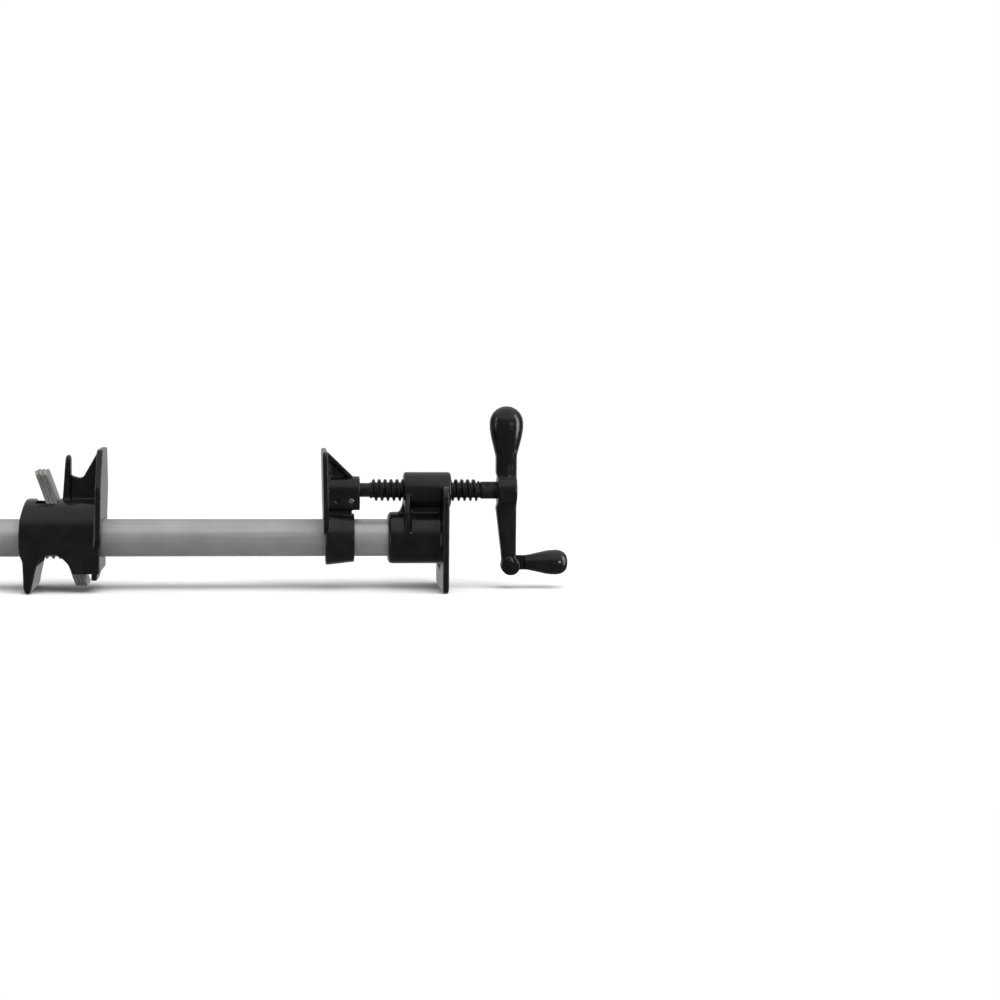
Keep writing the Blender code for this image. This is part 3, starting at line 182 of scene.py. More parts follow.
class FinishNodes(NodeMaker):
    """The shader tree of one finish, with helpers for noise, colour and bump."""

    def __init__(self, name: str) -> None:
        """Make a material with a Principled shader.

        Args:
            name: The material's name.
        """
        self.material = bpy.data.materials.new(name)
        self.material.use_nodes = True
        super().__init__(self.material.node_tree)
        self.shader = self.tree.nodes["Principled BSDF"]
        self.place = self.node("ShaderNodeTexCoord").outputs["Object"]

    def stretched(self, scale: Sequence[float]) -> bpy.types.NodeSocket:
        """Stretch the object's coordinates.

        Args:
            scale: How many times finer the pattern is along each axis.

        Returns:
            The stretched coordinates.
        """
        mapping = self.node("ShaderNodeMapping")
        self.feed(mapping.inputs["Vector"], self.place)
        mapping.inputs["Scale"].default_value = scale
        return mapping.outputs["Vector"]

    def noise(self, pattern: Pattern) -> bpy.types.NodeSocket:
        """Add a noise pattern.

        Args:
            pattern: The size of its largest blobs, its finer layers and how it is stretched.

        Returns:
            The noise, from 0 to 1.
        """
        even = all(share == 1 for share in pattern.stretch)
        place = self.place if even else self.stretched(pattern.stretch)
        made = self.node("ShaderNodeTexNoise")
        self.feed(made.inputs["Vector"], place)
        made.inputs["Scale"].default_value = 1 / pattern.size
        made.inputs["Detail"].default_value = pattern.detail
        made.inputs["Roughness"].default_value = pattern.roughness
        return made.outputs["Fac"]

    def spread(self, pattern: bpy.types.NodeSocket, low: float, high: float,
               given: Sequence[float] = COMMON_RANGE) -> bpy.types.NodeSocket:
        """Give low where a pattern is at the first of its given values, and high at the second."""
        return self.mapped(pattern, given, (low, high))

    def blended(self, share: object, first: object, second: object) -> bpy.types.NodeSocket:
        """Mix two colours.

        Args:
            share: How much of the second colour shows.
            first: A colour or a socket.
            second: A colour or a socket.

        Returns:
            The mixed colour.
        """
        made = self.node("ShaderNodeMix", data_type="RGBA")
        self.feed(made.inputs[MIX_SHARE], share)
        for index, value in zip(MIX_COLOURS, (first, second)):
            if not isinstance(value, bpy.types.NodeSocket):
                value = (*value, 1)
            self.feed(made.inputs[index], value)
        return made.outputs[MIX_RESULT]

    def bumps(self, *layers: tuple[bpy.types.NodeSocket, float]) -> None:
        """Stack bump layers on the shader's normal.

        Args:
            *layers: Pairs of a pattern and the depth in metres that its full range stands for.
        """
        normal = None
        for pattern, depth in layers:
            made = self.node("ShaderNodeBump")
            made.inputs["Distance"].default_value = depth
            self.feed(made.inputs["Height"], pattern)
            if normal:
                self.feed(made.inputs["Normal"], normal)
            normal = made.outputs["Normal"]
        self.feed(self.shader.inputs["Normal"], normal)


@dataclass(frozen=True)
class GlossPaint:
    """Gloss black enamel over a sand casting."""

    name: str = "gloss_black_paint"
    slot: str = "black_paint"
    thick: tuple = (0.0035, 0.0035, 0.0038)
    thin: tuple = (0.0080, 0.0080, 0.0082)
    smooth: float = 0.17
    dull: float = 0.24
    shine: float = 0.5
    swell: Pattern = Pattern(0.0085)
    swell_depth: float = 0.00016
    grain: Pattern = Pattern(0.0011, 3.0, 0.55)
    grain_depth: float = 0.000005

    def material(self) -> bpy.types.Material:
        """Build the finish."""
        nodes = FinishNodes(self.name)
        swell = nodes.noise(self.swell)
        grain = nodes.noise(self.grain)
        nodes.feed(nodes.shader.inputs["Base Color"],
                   nodes.blended(nodes.spread(swell, 0, 1), self.thick, self.thin))
        nodes.feed(nodes.shader.inputs["Roughness"], nodes.spread(grain, self.smooth, self.dull))
        nodes.shader.inputs["Specular IOR Level"].default_value = self.shine
        nodes.bumps((swell, self.swell_depth), (grain, self.grain_depth))
        return nodes.material


@dataclass(frozen=True)
class BlackOxide:
    """Black oxide on machined steel, rubbed lighter where parts slide."""

    name: str = "black_oxide"
    slot: str = "black_oxide"
    dark: tuple = (0.018, 0.018, 0.020)
    light: tuple = (0.060, 0.058, 0.056)
    smooth: float = 0.28
    dull: float = 0.46
    metal_share: float = 0.75
    blotch: Pattern = Pattern(0.0050, 4.0, 0.6)
    blotch_range: tuple = (0.4, 0.75)
    tool_mark: Pattern = Pattern(0.00035, stretch=(1, 0.08, 0.08))
    tool_mark_depth: float = 0.000012

    def material(self) -> bpy.types.Material:
        """Build the finish."""
        nodes = FinishNodes(self.name)
        blotch = nodes.noise(self.blotch)
        marks = nodes.noise(self.tool_mark)
        share = nodes.spread(blotch, 0, 1, self.blotch_range)
        nodes.feed(nodes.shader.inputs["Base Color"],
                   nodes.blended(share, self.dark, self.light))
        nodes.feed(nodes.shader.inputs["Roughness"], nodes.spread(blotch, self.smooth, self.dull))
        nodes.shader.inputs["Metallic"].default_value = self.metal_share
        nodes.bumps((marks, self.tool_mark_depth))
        return nodes.material


@dataclass(frozen=True)
class BarePipe:
    """Satin grey drawn pipe, with faint lines along it and cloudy mill scale."""

    name: str = "satin_pipe_steel"
    slot: str = "pipe_steel"
    dark: tuple = (0.36, 0.36, 0.365)
    light: tuple = (0.47, 0.47, 0.47)
    smooth: float = 0.36
    dull: float = 0.46
    metal_share: float = 0.6
    cloud: Pattern = Pattern(0.022, 5.0, 0.6)
    cloud_range: tuple = (0.35, 0.65)
    line: Pattern = Pattern(0.0012, 3.0, 0.6, (0.012, 1, 1))
    line_depth: float = 0.000008
    grain: Pattern = Pattern(0.0004)
    grain_depth: float = 0.000006

    def material(self) -> bpy.types.Material:
        """Build the finish."""
        nodes = FinishNodes(self.name)
        cloud = nodes.noise(self.cloud)
        lines = nodes.noise(self.line)
        grain = nodes.noise(self.grain)
        both = nodes.sum("MULTIPLY", nodes.sum("ADD", cloud, lines), 0.5)
        share = nodes.spread(both, 0, 1, self.cloud_range)
        nodes.feed(nodes.shader.inputs["Base Color"],
                   nodes.blended(share, self.dark, self.light))
        nodes.feed(nodes.shader.inputs["Roughness"], nodes.spread(both, self.smooth, self.dull))
        nodes.shader.inputs["Metallic"].default_value = self.metal_share
        nodes.bumps((lines, self.line_depth), (grain, self.grain_depth))
        return nodes.material


@dataclass(frozen=True)
class BrightPlating:
    """Bright zinc on pressed or drawn steel, with a faint cast of colour."""

    name: str = "zinc_plating"
    slot: str = "zinc_plate"
    cool: tuple = (0.44, 0.455, 0.47)
    warm: tuple = (0.53, 0.52, 0.47)
    smooth: float = 0.26
    dull: float = 0.42
    metal_share: float = 0.95
    cloud: Pattern = Pattern(0.007, 4.0, 0.6)
    grain: Pattern = Pattern(0.0006, 3.0, 0.6)
    grain_depth: float = 0.000012

    def material(self) -> bpy.types.Material:
        """Build the finish."""
        nodes = FinishNodes(self.name)
        cloud = nodes.noise(self.cloud)
        grain = nodes.noise(self.grain)
        nodes.feed(nodes.shader.inputs["Base Color"],
                   nodes.blended(nodes.spread(cloud, 0, 1), self.cool, self.warm))
        nodes.feed(nodes.shader.inputs["Roughness"], nodes.spread(grain, self.smooth, self.dull))
        nodes.shader.inputs["Metallic"].default_value = self.metal_share
        nodes.bumps((grain, self.grain_depth))
        return nodes.material


@dataclass(frozen=True)
class GroundSteel:
    """Bare steel, ground round."""

    name: str = "ground_steel"
    slot: str = "pin_steel"
    dark: tuple = (0.46, 0.46, 0.46)
    light: tuple = (0.62, 0.62, 0.61)
    smooth: float = 0.20
    dull: float = 0.36
    metal_share: float = 1.0
    line: Pattern = Pattern(0.0003, 3.0, 0.6, (0.15, 1, 0.15))
    line_depth: float = 0.000006

    def material(self) -> bpy.types.Material:
        """Build the finish."""
        nodes = FinishNodes(self.name)
        lines = nodes.noise(self.line)
        nodes.feed(nodes.shader.inputs["Base Color"],
                   nodes.blended(nodes.spread(lines, 0, 1), self.dark, self.light))
        nodes.feed(nodes.shader.inputs["Roughness"], nodes.spread(lines, self.smooth, self.dull))
        nodes.shader.inputs["Metallic"].default_value = self.metal_share
        nodes.bumps((lines, self.line_depth))
        return nodes.material


Finish = GlossPaint | BlackOxide | BarePipe | BrightPlating | GroundSteel


class Finishes:
    """Every finish of the clamp, each built once."""

    def __init__(self) -> None:
        """Build the materials."""
        self.slots: dict[str, str] = {}
        self.paint = self.add(GlossPaint())
        self.oxide = self.add(BlackOxide())
        self.pipe = self.add(BarePipe())
        self.zinc = self.add(BrightPlating())
        self.pin = self.add(GroundSteel())
        self.spring = self.add(BrightPlating("plated_wire", "spring_steel",
                                             cool=(0.42, 0.43, 0.45), warm=(0.52, 0.51, 0.47)))

    def add(self, finish: Finish) -> bpy.types.Material:
        """Build one finish and remember the record's slot that it belongs to.

        Args:
            finish: The finish.

        Returns:
            Its material.
        """
        made = finish.material()
        self.slots[made.name] = finish.slot
        return made

    def dress(self, piece: bpy.types.Object, look: bpy.types.Material, body: Body | str,
              *nodes: str) -> bpy.types.Object:
        """Give a piece its finish and body, and let it stand for CAD nodes.

        Args:
            piece: The finished mesh.
            look: Its material.
            body: The body that it moves with, by its name for a clutch plate.
            *nodes: The CAD nodes that it replaces.

        Returns:
            The piece.
        """
        piece.data.materials.clear()
        piece.data.materials.append(look)
        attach(piece, body.value if isinstance(body, Body) else body)
        if nodes:
            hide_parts(*nodes)
        LOG.info("%s: %d faces, %s", piece.name, len(piece.data.polygons), look.name)
        return piece


def mesh_object(name: str, mesh: bpy.types.Mesh) -> bpy.types.Object:
    """Show a mesh as an object at the origin.

    Args:
        name: The object's name.
        mesh: Its mesh.

    Returns:
        The object.
    """
    mesh.name = name
    made = bpy.data.objects.new(name, mesh)
    bpy.context.scene.collection.objects.link(made)
    return made


def settled(piece: bpy.types.Object) -> bpy.types.Object:
    """Turn a piece with modifiers into a plain smooth mesh.

    Args:
        piece: The piece.

    Returns:
        The same object, with its modifiers' result as its mesh.
    """
    bpy.context.view_layer.update()
    evaluated = piece.evaluated_get(bpy.context.evaluated_depsgraph_get())
    mesh = bpy.data.meshes.new_from_object(evaluated)
    mesh.name = piece.name
    piece.modifiers.clear()
    piece.data = mesh
    mesh.shade_smooth()
    return piece


def merged_copy(node: str, name: str) -> bpy.types.Object:
    """Copy a CAD node, merge its loose triangles and join those that lie in one plane.

    Args:
        node: The CAD node.
        name: The copy's name.

    Returns:
        The copy.
    """
    work = bmesh.new()
    work.from_mesh(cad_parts[node].data)
    bmesh.ops.remove_doubles(work, verts=work.verts, dist=MERGE_DISTANCE)
    bmesh.ops.dissolve_limit(work, angle_limit=FLAT_ANGLE, verts=work.verts,
                             edges=work.edges)
    mesh = bpy.data.meshes.new(name)
    work.to_mesh(mesh)
    work.free()
    return mesh_object(name, mesh)


def turned(name: str, profile: Sequence[tuple[float, float]], axis: Axis,
           place: Sequence[float], segments: int) -> bpy.types.Object:
    """Turn a profile about an axis into a closed mesh.

    Args:
        name: The piece's name.
        profile: Points of radius and height, each end at radius 0 or the two ends alike.
        axis: The direction of the piece's axis.
        place: A point on the axis, where the height is 0.
        segments: How many faces go round.

    Returns:
        The piece.
    """
    work = bmesh.new()
    rings = []
    for radius, height in profile:
        ring = []
        for step in range(segments):
            angle = 2 * math.pi * step / segments
            across, side = radius * math.cos(angle), radius * math.sin(angle)
            ring.append(work.verts.new((across, side, height)))
        rings.append(ring)
    for low, high in zip(rings, rings[1:]):
        for step in range(segments):
            after = (step + 1) % segments
            work.faces.new((low[step], low[after], high[after], high[step]))
    bmesh.ops.remove_doubles(work, verts=work.verts, dist=SEAM_DISTANCE)
    bmesh.ops.recalc_face_normals(work, faces=work.faces)
    work.transform(Matrix.Translation(place) @ axis.value)
    mesh = bpy.data.meshes.new(name)
    work.to_mesh(mesh)
    work.free()
    mesh.shade_smooth()
    mesh.set_sharp_from_angle(angle=SMOOTH_ANGLE)
    return mesh_object(name, mesh)


def arc(centre: tuple[float, float], radius: float, start: float, end: float,
        steps: int) -> list[tuple[float, float]]:
    """Give the points of an arc.

    Args:
        centre: Its centre.
        radius: Its radius.
        start: The angle that it starts at, in degrees.
        end: The angle that it ends at, in degrees.
        steps: How many stretches it has.

    Returns:
        The points, from start to end.
    """
    points = []
    for step in range(steps + 1):
        angle = math.radians(start + (end - start) * step / steps)
        points.append((centre[0] + radius * math.cos(angle),
                       centre[1] + radius * math.sin(angle)))
    return points


def mirrored(half: Sequence[tuple[float, float]]) -> list[tuple[float, float]]:
    """Give the upper half of a profile and its mirror image below height 0."""
    return [*half, *((across, -up) for across, up in reversed(half))]


class ShapeNodes(NodeMaker):
    """A geometry tree with named sizes, which ends in plain meshes of one material."""

    def __init__(self, name: str, sizes: dict[str, float | int]) -> None:
        """Make the tree and its inputs.

        Args:
            name: The tree's name.
            sizes: The name and the first value of each size and count.
        """
        tree = bpy.data.node_groups.new(name, "GeometryNodeTree")
        super().__init__(tree)
        face = tree.interface
        self.identifiers: dict[str, str] = {}
        face.new_socket("Geometry", in_out="INPUT", socket_type="NodeSocketGeometry")
        face.new_socket("Geometry", in_out="OUTPUT", socket_type="NodeSocketGeometry")
        for label, value in sizes.items():
            kind = "NodeSocketInt" if isinstance(value, int) else "NodeSocketFloat"
            made = face.new_socket(label, in_out="INPUT", socket_type=kind)
            made.default_value = value
            self.identifiers[label] = made.identifier
        made = face.new_socket("Finish", in_out="INPUT", socket_type="NodeSocketMaterial")
        self.identifiers["Finish"] = made.identifier
        self.inputs = self.node("NodeGroupInput").outputs
        self.outputs = self.node("NodeGroupOutput").inputs

    def position(self) -> bpy.types.NodeSocket:
        """Give the place of each point."""
        return self.node("GeometryNodeInputPosition").outputs["Position"]

    def end(self, shape: bpy.types.NodeSocket) -> None:
        """Realize the instances, set the material and close the tree.

        Args:
            shape: The geometry to give out.
        """
        real = self.node("GeometryNodeRealizeInstances")
        finish = self.node("GeometryNodeSetMaterial")
        self.feed(real.inputs["Geometry"], shape)
        self.feed(finish.inputs["Geometry"], real.outputs["Geometry"])
        self.feed(finish.inputs["Material"], self.inputs["Finish"])
        self.feed(self.outputs["Geometry"], finish.outputs["Geometry"])

    def run(self, piece: bpy.types.Object, values: dict[str, object]) -> bpy.types.Object:
        """Run the tree on a piece and keep the result as a plain mesh.

        Args:
            piece: The object to run on.
            values: The sizes to set, by name.

        Returns:
            The piece.
        """
        modifier = piece.modifiers.new(self.tree.name, "NODES")
        modifier.node_group = self.tree
        for label, value in values.items():
            modifier[self.identifiers[label]] = value
        piece = settled(piece)
        piece.data.set_sharp_from_angle(angle=SMOOTH_ANGLE)
        return piece


class ThreadCutter(ShapeNodes):
    """Cuts a right-hand thread into a turned bar that lies along X."""

    def __init__(self) -> None:
        """Build the tree."""
        super().__init__("thread_cutter", {
            "Start": 0.0, "End": 0.0, "Run Out": 0.0, "Depth": 0.0, "Pitch": 1.0, "Origin": 0.0,
            "Crest Share": 0.3, "Root Share": 0.6, "Inner Radius": 0.0, "Axis Height": 0.0,
        })
        size = self.inputs
        place = self.node("ShaderNodeSeparateXYZ")
        self.feed(place.inputs["Vector"], self.position())
        x, y, z = place.outputs
        up = self.sum("SUBTRACT", z, size["Axis Height"])
        radius = self.sum("SQRT", self.sum("ADD", self.sum("MULTIPLY", y, y),
                                           self.sum("MULTIPLY", up, up)))
        turn = self.sum("DIVIDE", self.sum("ARCTAN2", self.sum("MULTIPLY", y, -1.0), up),
                        2 * math.pi)
        travel = self.sum("DIVIDE", self.sum("SUBTRACT", x, size["Origin"]), size["Pitch"])
        phase = self.sum("FRACT", self.sum("ADD", self.sum("SUBTRACT", travel, turn), 0.5))
        away = self.sum("ABSOLUTE", self.sum("SUBTRACT", phase, 0.5))
        root = self.sum("MULTIPLY", size["Root Share"], 0.5)
        crest = self.sum("MULTIPLY", size["Crest Share"], 0.5)
        ridge = self.sum("DIVIDE", self.sum("SUBTRACT", root, away),
                         self.sum("SUBTRACT", root, crest))
        groove = self.clipped(self.sum("SUBTRACT", 1.0, ridge))
        inside = self.sum("MINIMUM", self.sum("SUBTRACT", x, size["Start"]),
                          self.sum("SUBTRACT", size["End"], x))
        zone = self.clipped(self.sum("DIVIDE", inside, size["Run Out"]))
        room = self.sum("MAXIMUM", self.sum("SUBTRACT", radius, size["Inner Radius"]), 0.0)
        wanted = self.sum("MULTIPLY", size["Depth"], self.sum("MULTIPLY", groove, zone))
        share = self.sum("DIVIDE", self.sum("MINIMUM", wanted, room),
                         self.sum("MAXIMUM", radius, size["Inner Radius"]))
        offset = self.node("ShaderNodeCombineXYZ")
        for axis, across in (("Y", y), ("Z", up)):
            inward = self.sum("MULTIPLY", self.sum("MULTIPLY", across, share), -1.0)
            self.feed(offset.inputs[axis], inward)
        move = self.node("GeometryNodeSetPosition")
        self.feed(move.inputs["Geometry"], size["Geometry"])
        self.feed(move.inputs["Offset"], offset.outputs["Vector"])
        self.end(move.outputs["Geometry"])

    def clipped(self, value: bpy.types.NodeSocket) -> bpy.types.NodeSocket:
        """Hold a value between 0 and 1.

        Args:
            value: The value.

        Returns:
            The clipped value.
        """
        return self.sum("MAXIMUM", self.sum("MINIMUM", value, 1.0), 0.0)


class SpringWinder(ShapeNodes):
    """Winds a compression spring about X whose right end leans with the clutch plates."""

    def __init__(self) -> None:
        """Build the tree."""
        super().__init__("spring_winder", {
            "Start": 0.0, "End": 0.0, "Lean": 0.0, "Radius": 0.0, "Wire Radius": 0.0,
            "Axis Height": 0.0, "Curls": 5.0, "Points": 32, "Wire Faces": 12,
        })
        size = self.inputs
        spiral = self.node("GeometryNodeCurveSpiral")
        self.feed(spiral.inputs["Resolution"], size["Points"])
        self.feed(spiral.inputs["Rotations"], size["Curls"])
        self.feed(spiral.inputs["Start Radius"], size["Radius"])
        self.feed(spiral.inputs["End Radius"], size["Radius"])
        spiral.inputs["Height"].default_value = 1.0
        place = self.node("ShaderNodeSeparateXYZ")
        self.feed(place.inputs["Vector"], self.position())
        across, side, along = place.outputs
        reach = self.sum("SUBTRACT", self.sum("ADD", size["End"],
                                              self.sum("MULTIPLY", across, size["Lean"])),
                         size["Start"])
        point = self.node("ShaderNodeCombineXYZ")
        self.feed(point.inputs["X"], self.sum("ADD", size["Start"],
                                              self.sum("MULTIPLY", reach, along)))
        self.feed(point.inputs["Y"], side)
        self.feed(point.inputs["Z"], self.sum("SUBTRACT", size["Axis Height"], across))
        move = self.node("GeometryNodeSetPosition")
        self.feed(move.inputs["Geometry"], spiral.outputs["Curve"])
        self.feed(move.inputs["Position"], point.outputs["Vector"])
        section = self.node("GeometryNodeCurvePrimitiveCircle")
        self.feed(section.inputs["Resolution"], size["Wire Faces"])
        self.feed(section.inputs["Radius"], size["Wire Radius"])
        wire = self.node("GeometryNodeCurveToMesh")
        self.feed(wire.inputs["Curve"], move.outputs["Geometry"])
        self.feed(wire.inputs["Profile Curve"], section.outputs["Curve"])
        wire.inputs["Fill Caps"].default_value = True
        self.end(wire.outputs["Mesh"])


@dataclass
class Workshop:
    """What the sub-assemblies share: the finishes and the two geometry trees."""

    finishes: Finishes
    threads: ThreadCutter
    springs: SpringWinder


@dataclass
class Casting:
    """A sand casting: its CAD solid with the soft edges and corners of the real one."""

    node: str
    body: Body
    voxel: float = 0.00060
    rounds: int = 10
    keep_share: float = 0.45
    round_strength: float = 0.5

    def build(self, shop: Workshop) -> bpy.types.Object:
        """Remesh the CAD solid, soften it and paint it.

        Args:
            shop: The shared finishes and trees.

        Returns:
            The casting.
        """
        piece = merged_copy(self.node, f"{self.node}_body")
        remesh = piece.modifiers.new("remesh", "REMESH")
        remesh.mode = "VOXEL"
        remesh.voxel_size = self.voxel
        soften = piece.modifiers.new("soften", "SMOOTH")
        soften.factor = self.round_strength
        soften.iterations = self.rounds
        thin = piece.modifiers.new("thin", "DECIMATE")
        thin.ratio = self.keep_share
        piece = settled(piece)
        return shop.finishes.dress(piece, shop.finishes.paint, self.body, self.node)


@dataclass
class Head:
    """The screw head: its casting and the pipe that it stands on."""

    casting: Casting = field(
        default_factory=lambda: Casting("head_casting", Body.HEAD, rounds=24))
    wall: float = 0.00287
    thread_pitch: float = 0.001814
    thread_length: float = 0.0165
    thread_depth: float = 0.0009
    thread_zone_share: float = 1.1
    crest_share: float = 0.12
    root_share: float = 0.88
    chamfer: float = 0.0008
    skin_share: float = 1.1
    rows_a_turn: int = 16
    segments: int = 96

    def build(self, shop: Workshop) -> None:
        """Build the casting and the pipe.

        Args:
            shop: The shared finishes and trees.
        """
        self.casting.build(shop)
        self.build_pipe(shop)

    def build_pipe(self, shop: Workshop) -> bpy.types.Object:
        """Turn the pipe with its bore and cut the thread on its free end.

        Args:
            shop: The shared finishes and trees.

        Returns:
            The pipe.
        """
        low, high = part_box("pipe")
        height = (low.z + high.z) / 2
        radius = (high.y - low.y) / 2
        bore = radius - self.wall
        step = self.thread_pitch / self.rows_a_turn
        rows = int(self.thread_length * self.thread_zone_share / step)
        outside = [(radius, low.x + self.chamfer + step * row) for row in range(rows)]
        profile = [(bore, low.x), (radius - self.chamfer, low.x)] + outside + [
            (radius, high.x - self.chamfer), (radius - self.chamfer, high.x), (bore, high.x),
            (bore, low.x)]
        pipe = turned("pipe_tube", profile, Axis.X, (0, 0, height), self.segments)
        pipe = shop.threads.run(pipe, {
            "Start": low.x - self.thread_pitch, "End": low.x + self.thread_length,
            "Run Out": self.thread_pitch * 2, "Depth": self.thread_depth,
            "Pitch": self.thread_pitch, "Origin": low.x, "Crest Share": self.crest_share,
            "Root Share": self.root_share,
            "Inner Radius": radius - self.chamfer * self.skin_share, "Axis Height": height,
            "Finish": shop.finishes.pipe,
        })
        return shop.finishes.dress(pipe, shop.finishes.pipe, Body.HEAD, "pipe")


@dataclass
class FrontJaw:
    """The jaw that slides on the pipe, and the pin that holds the screw in it."""

    casting: Casting = field(
        default_factory=lambda: Casting("front_jaw", Body.FRONT_JAW, voxel=0.00045))
    pin_rounding: float = 0.0004
    pin_edge_steps: int = 5
    pin_segments: int = 48

    def build(self, shop: Workshop) -> None:
        """Build the casting and its pin.

        Args:
            shop: The shared finishes and trees.
        """
        self.casting.build(shop)
        low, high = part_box("jaw_pin")
        centre = (low + high) / 2
        radius = (high.x - low.x) / 2
        reach = (high.y - low.y) / 2
        edge = self.pin_rounding
        corner = (radius - edge, reach - edge)
        half = [(0, reach)] + arc(corner, edge, RIGHT_ANGLE, 0, self.pin_edge_steps)
        pin = turned("jaw_pin_body", mirrored(half), Axis.Y, centre, self.pin_segments)
        shop.finishes.dress(pin, shop.finishes.pin, Body.FRONT_JAW, "jaw_pin")


@dataclass
class ScrewAndCrank:
    """The screw with its crank, folding grip and rivet."""

    pitch: float = 0.004233
    depth: float = 0.0023
    origin: float = 0.0007
    thread_left: float = -0.05245
    thread_right: float = 0.02675
    shank_radius: float = 0.0062
    neck_radius: float = 0.0050
    crest_share: float = 0.30
    root_share: float = 0.62
    collar_length: float = 0.0100
    collar_step: float = 0.0010
    edge: float = 0.0005
    edge_relief_share: float = 1 / 3
    hub_length: float = 0.0138
    peened_radius: float = 0.0059
    peened_height: float = 0.0014
    peened_depth_share: float = 1.4
    crown_power: int = 3
    crown_steps: int = 8
    rivet_dome: float = 0.0021
    dome_steps: int = 10
    rivet_segments: int = 48
    rows_a_turn: int = 22
    segments: int = 72
    crank: Casting = field(default_factory=lambda: Casting(
        "crank", Body.SCREW, voxel=0.00045, rounds=22, keep_share=0.5))
    grip: Casting = field(default_factory=lambda: Casting(
        "handle_grip", Body.HANDLE, voxel=0.00035, rounds=12, keep_share=0.5))

    def build(self, shop: Workshop) -> None:
        """Build the screw, the crank, the grip and the rivet.

        Args:
            shop: The shared finishes and trees.
        """
        self.build_screw(shop)
        self.crank.build(shop)
        self.grip.build(shop)
        self.build_rivet(shop)

    def build_screw(self, shop: Workshop) -> bpy.types.Object:
        """Turn the screw from collar to peened end and cut its thread.

        Args:
            shop: The shared finishes and trees.

        Returns:
            The screw.
        """
        low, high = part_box("spindle")
        height = (low.z + high.z) / 2
        radius = (high.z - low.z) / 2
        collar = radius - self.collar_step
        hub_left = high.x - self.peened_height / 2 - self.hub_length
        edge = self.edge
        collar_right = low.x + self.collar_length
        relief = edge * self.edge_relief_share
        profile = [(0, low.x), (collar - edge * 2, low.x), (collar - edge, low.x + relief),
                   (collar, low.x + edge * 2), (collar, collar_right - edge),
                   (collar - edge, collar_right), (self.neck_radius, collar_right),
                   (self.neck_radius, self.thread_left - edge)]
        core = radius - self.depth
        step = self.pitch / self.rows_a_turn
        rows = int((self.thread_right - self.thread_left) / step)
        profile.append((core, self.thread_left - edge / 2))
        for row in range(rows + 1):
            along = self.thread_left + step * row
            ends = min(1, row / self.rows_a_turn * 2, (rows - row) / self.rows_a_turn * 2)
            profile.append((core + self.depth * ends, along))
        profile += [(self.shank_radius, self.thread_right + edge),
                    (self.shank_radius, hub_left + edge), (0, hub_left + edge)]
        screw = turned("screw_body", profile, Axis.X, (0, 0, height), self.segments)
        screw = shop.threads.run(screw, {
            "Start": self.thread_left - edge / 2, "End": self.thread_right + edge / 2,
            "Run Out": edge / 2, "Depth": self.depth, "Pitch": self.pitch,
            "Origin": self.origin, "Crest Share": self.crest_share,
            "Root Share": self.root_share,
            "Inner Radius": core, "Axis Height": height, "Finish": shop.finishes.oxide,
        })
        shop.finishes.dress(screw, shop.finishes.oxide, Body.SCREW, "spindle")
        self.build_peened_end(shop, high.x, height)
        return screw

    def build_peened_end(self, shop: Workshop, right: float, height: float) -> bpy.types.Object:
        """Make the peened end of the tenon, which shows in the crank's hub.

        Args:
            shop: The shared finishes and trees.
            right: The x of its crown.
            height: The z of the screw's axis.

        Returns:
            The peened end.
        """
        radius = self.peened_radius
        crown = self.peened_height / 2
        profile = [(0, right)]
        for step in range(1, self.crown_steps + 1):
            share = step / self.crown_steps
            profile.append((radius * share, right - crown * share ** self.crown_power))
        left = right - self.peened_height * self.peened_depth_share
        profile += [(radius, left), (0, left)]
        end = turned("peened_end", profile, Axis.X, (0, 0, height), self.segments)
        return shop.finishes.dress(end, shop.finishes.oxide, Body.SCREW)

    def build_rivet(self, shop: Workshop) -> bpy.types.Object:
        """Turn the domed rivet in the crank's fork.

        Args:
            shop: The shared finishes and trees.

        Returns:
            The rivet.
        """
        low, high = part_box("grip_rivet")
        centre = (low + high) / 2
        head = (high.x - low.x) / 2
        reach = (high.y - low.y) / 2
        dome = self.rivet_dome
        half = [(0, reach)]
        for step in range(1, self.dome_steps + 1):
            angle = math.pi / 2 * step / self.dome_steps
            half.append((head * math.sin(angle), reach - dome + dome * math.cos(angle)))
        shank = head / 2
        half.append((shank, reach - dome))
        rivet = turned("rivet_body", mirrored(half), Axis.Y, centre, self.rivet_segments)
        return shop.finishes.dress(rivet, shop.finishes.paint, Body.SCREW, "grip_rivet")


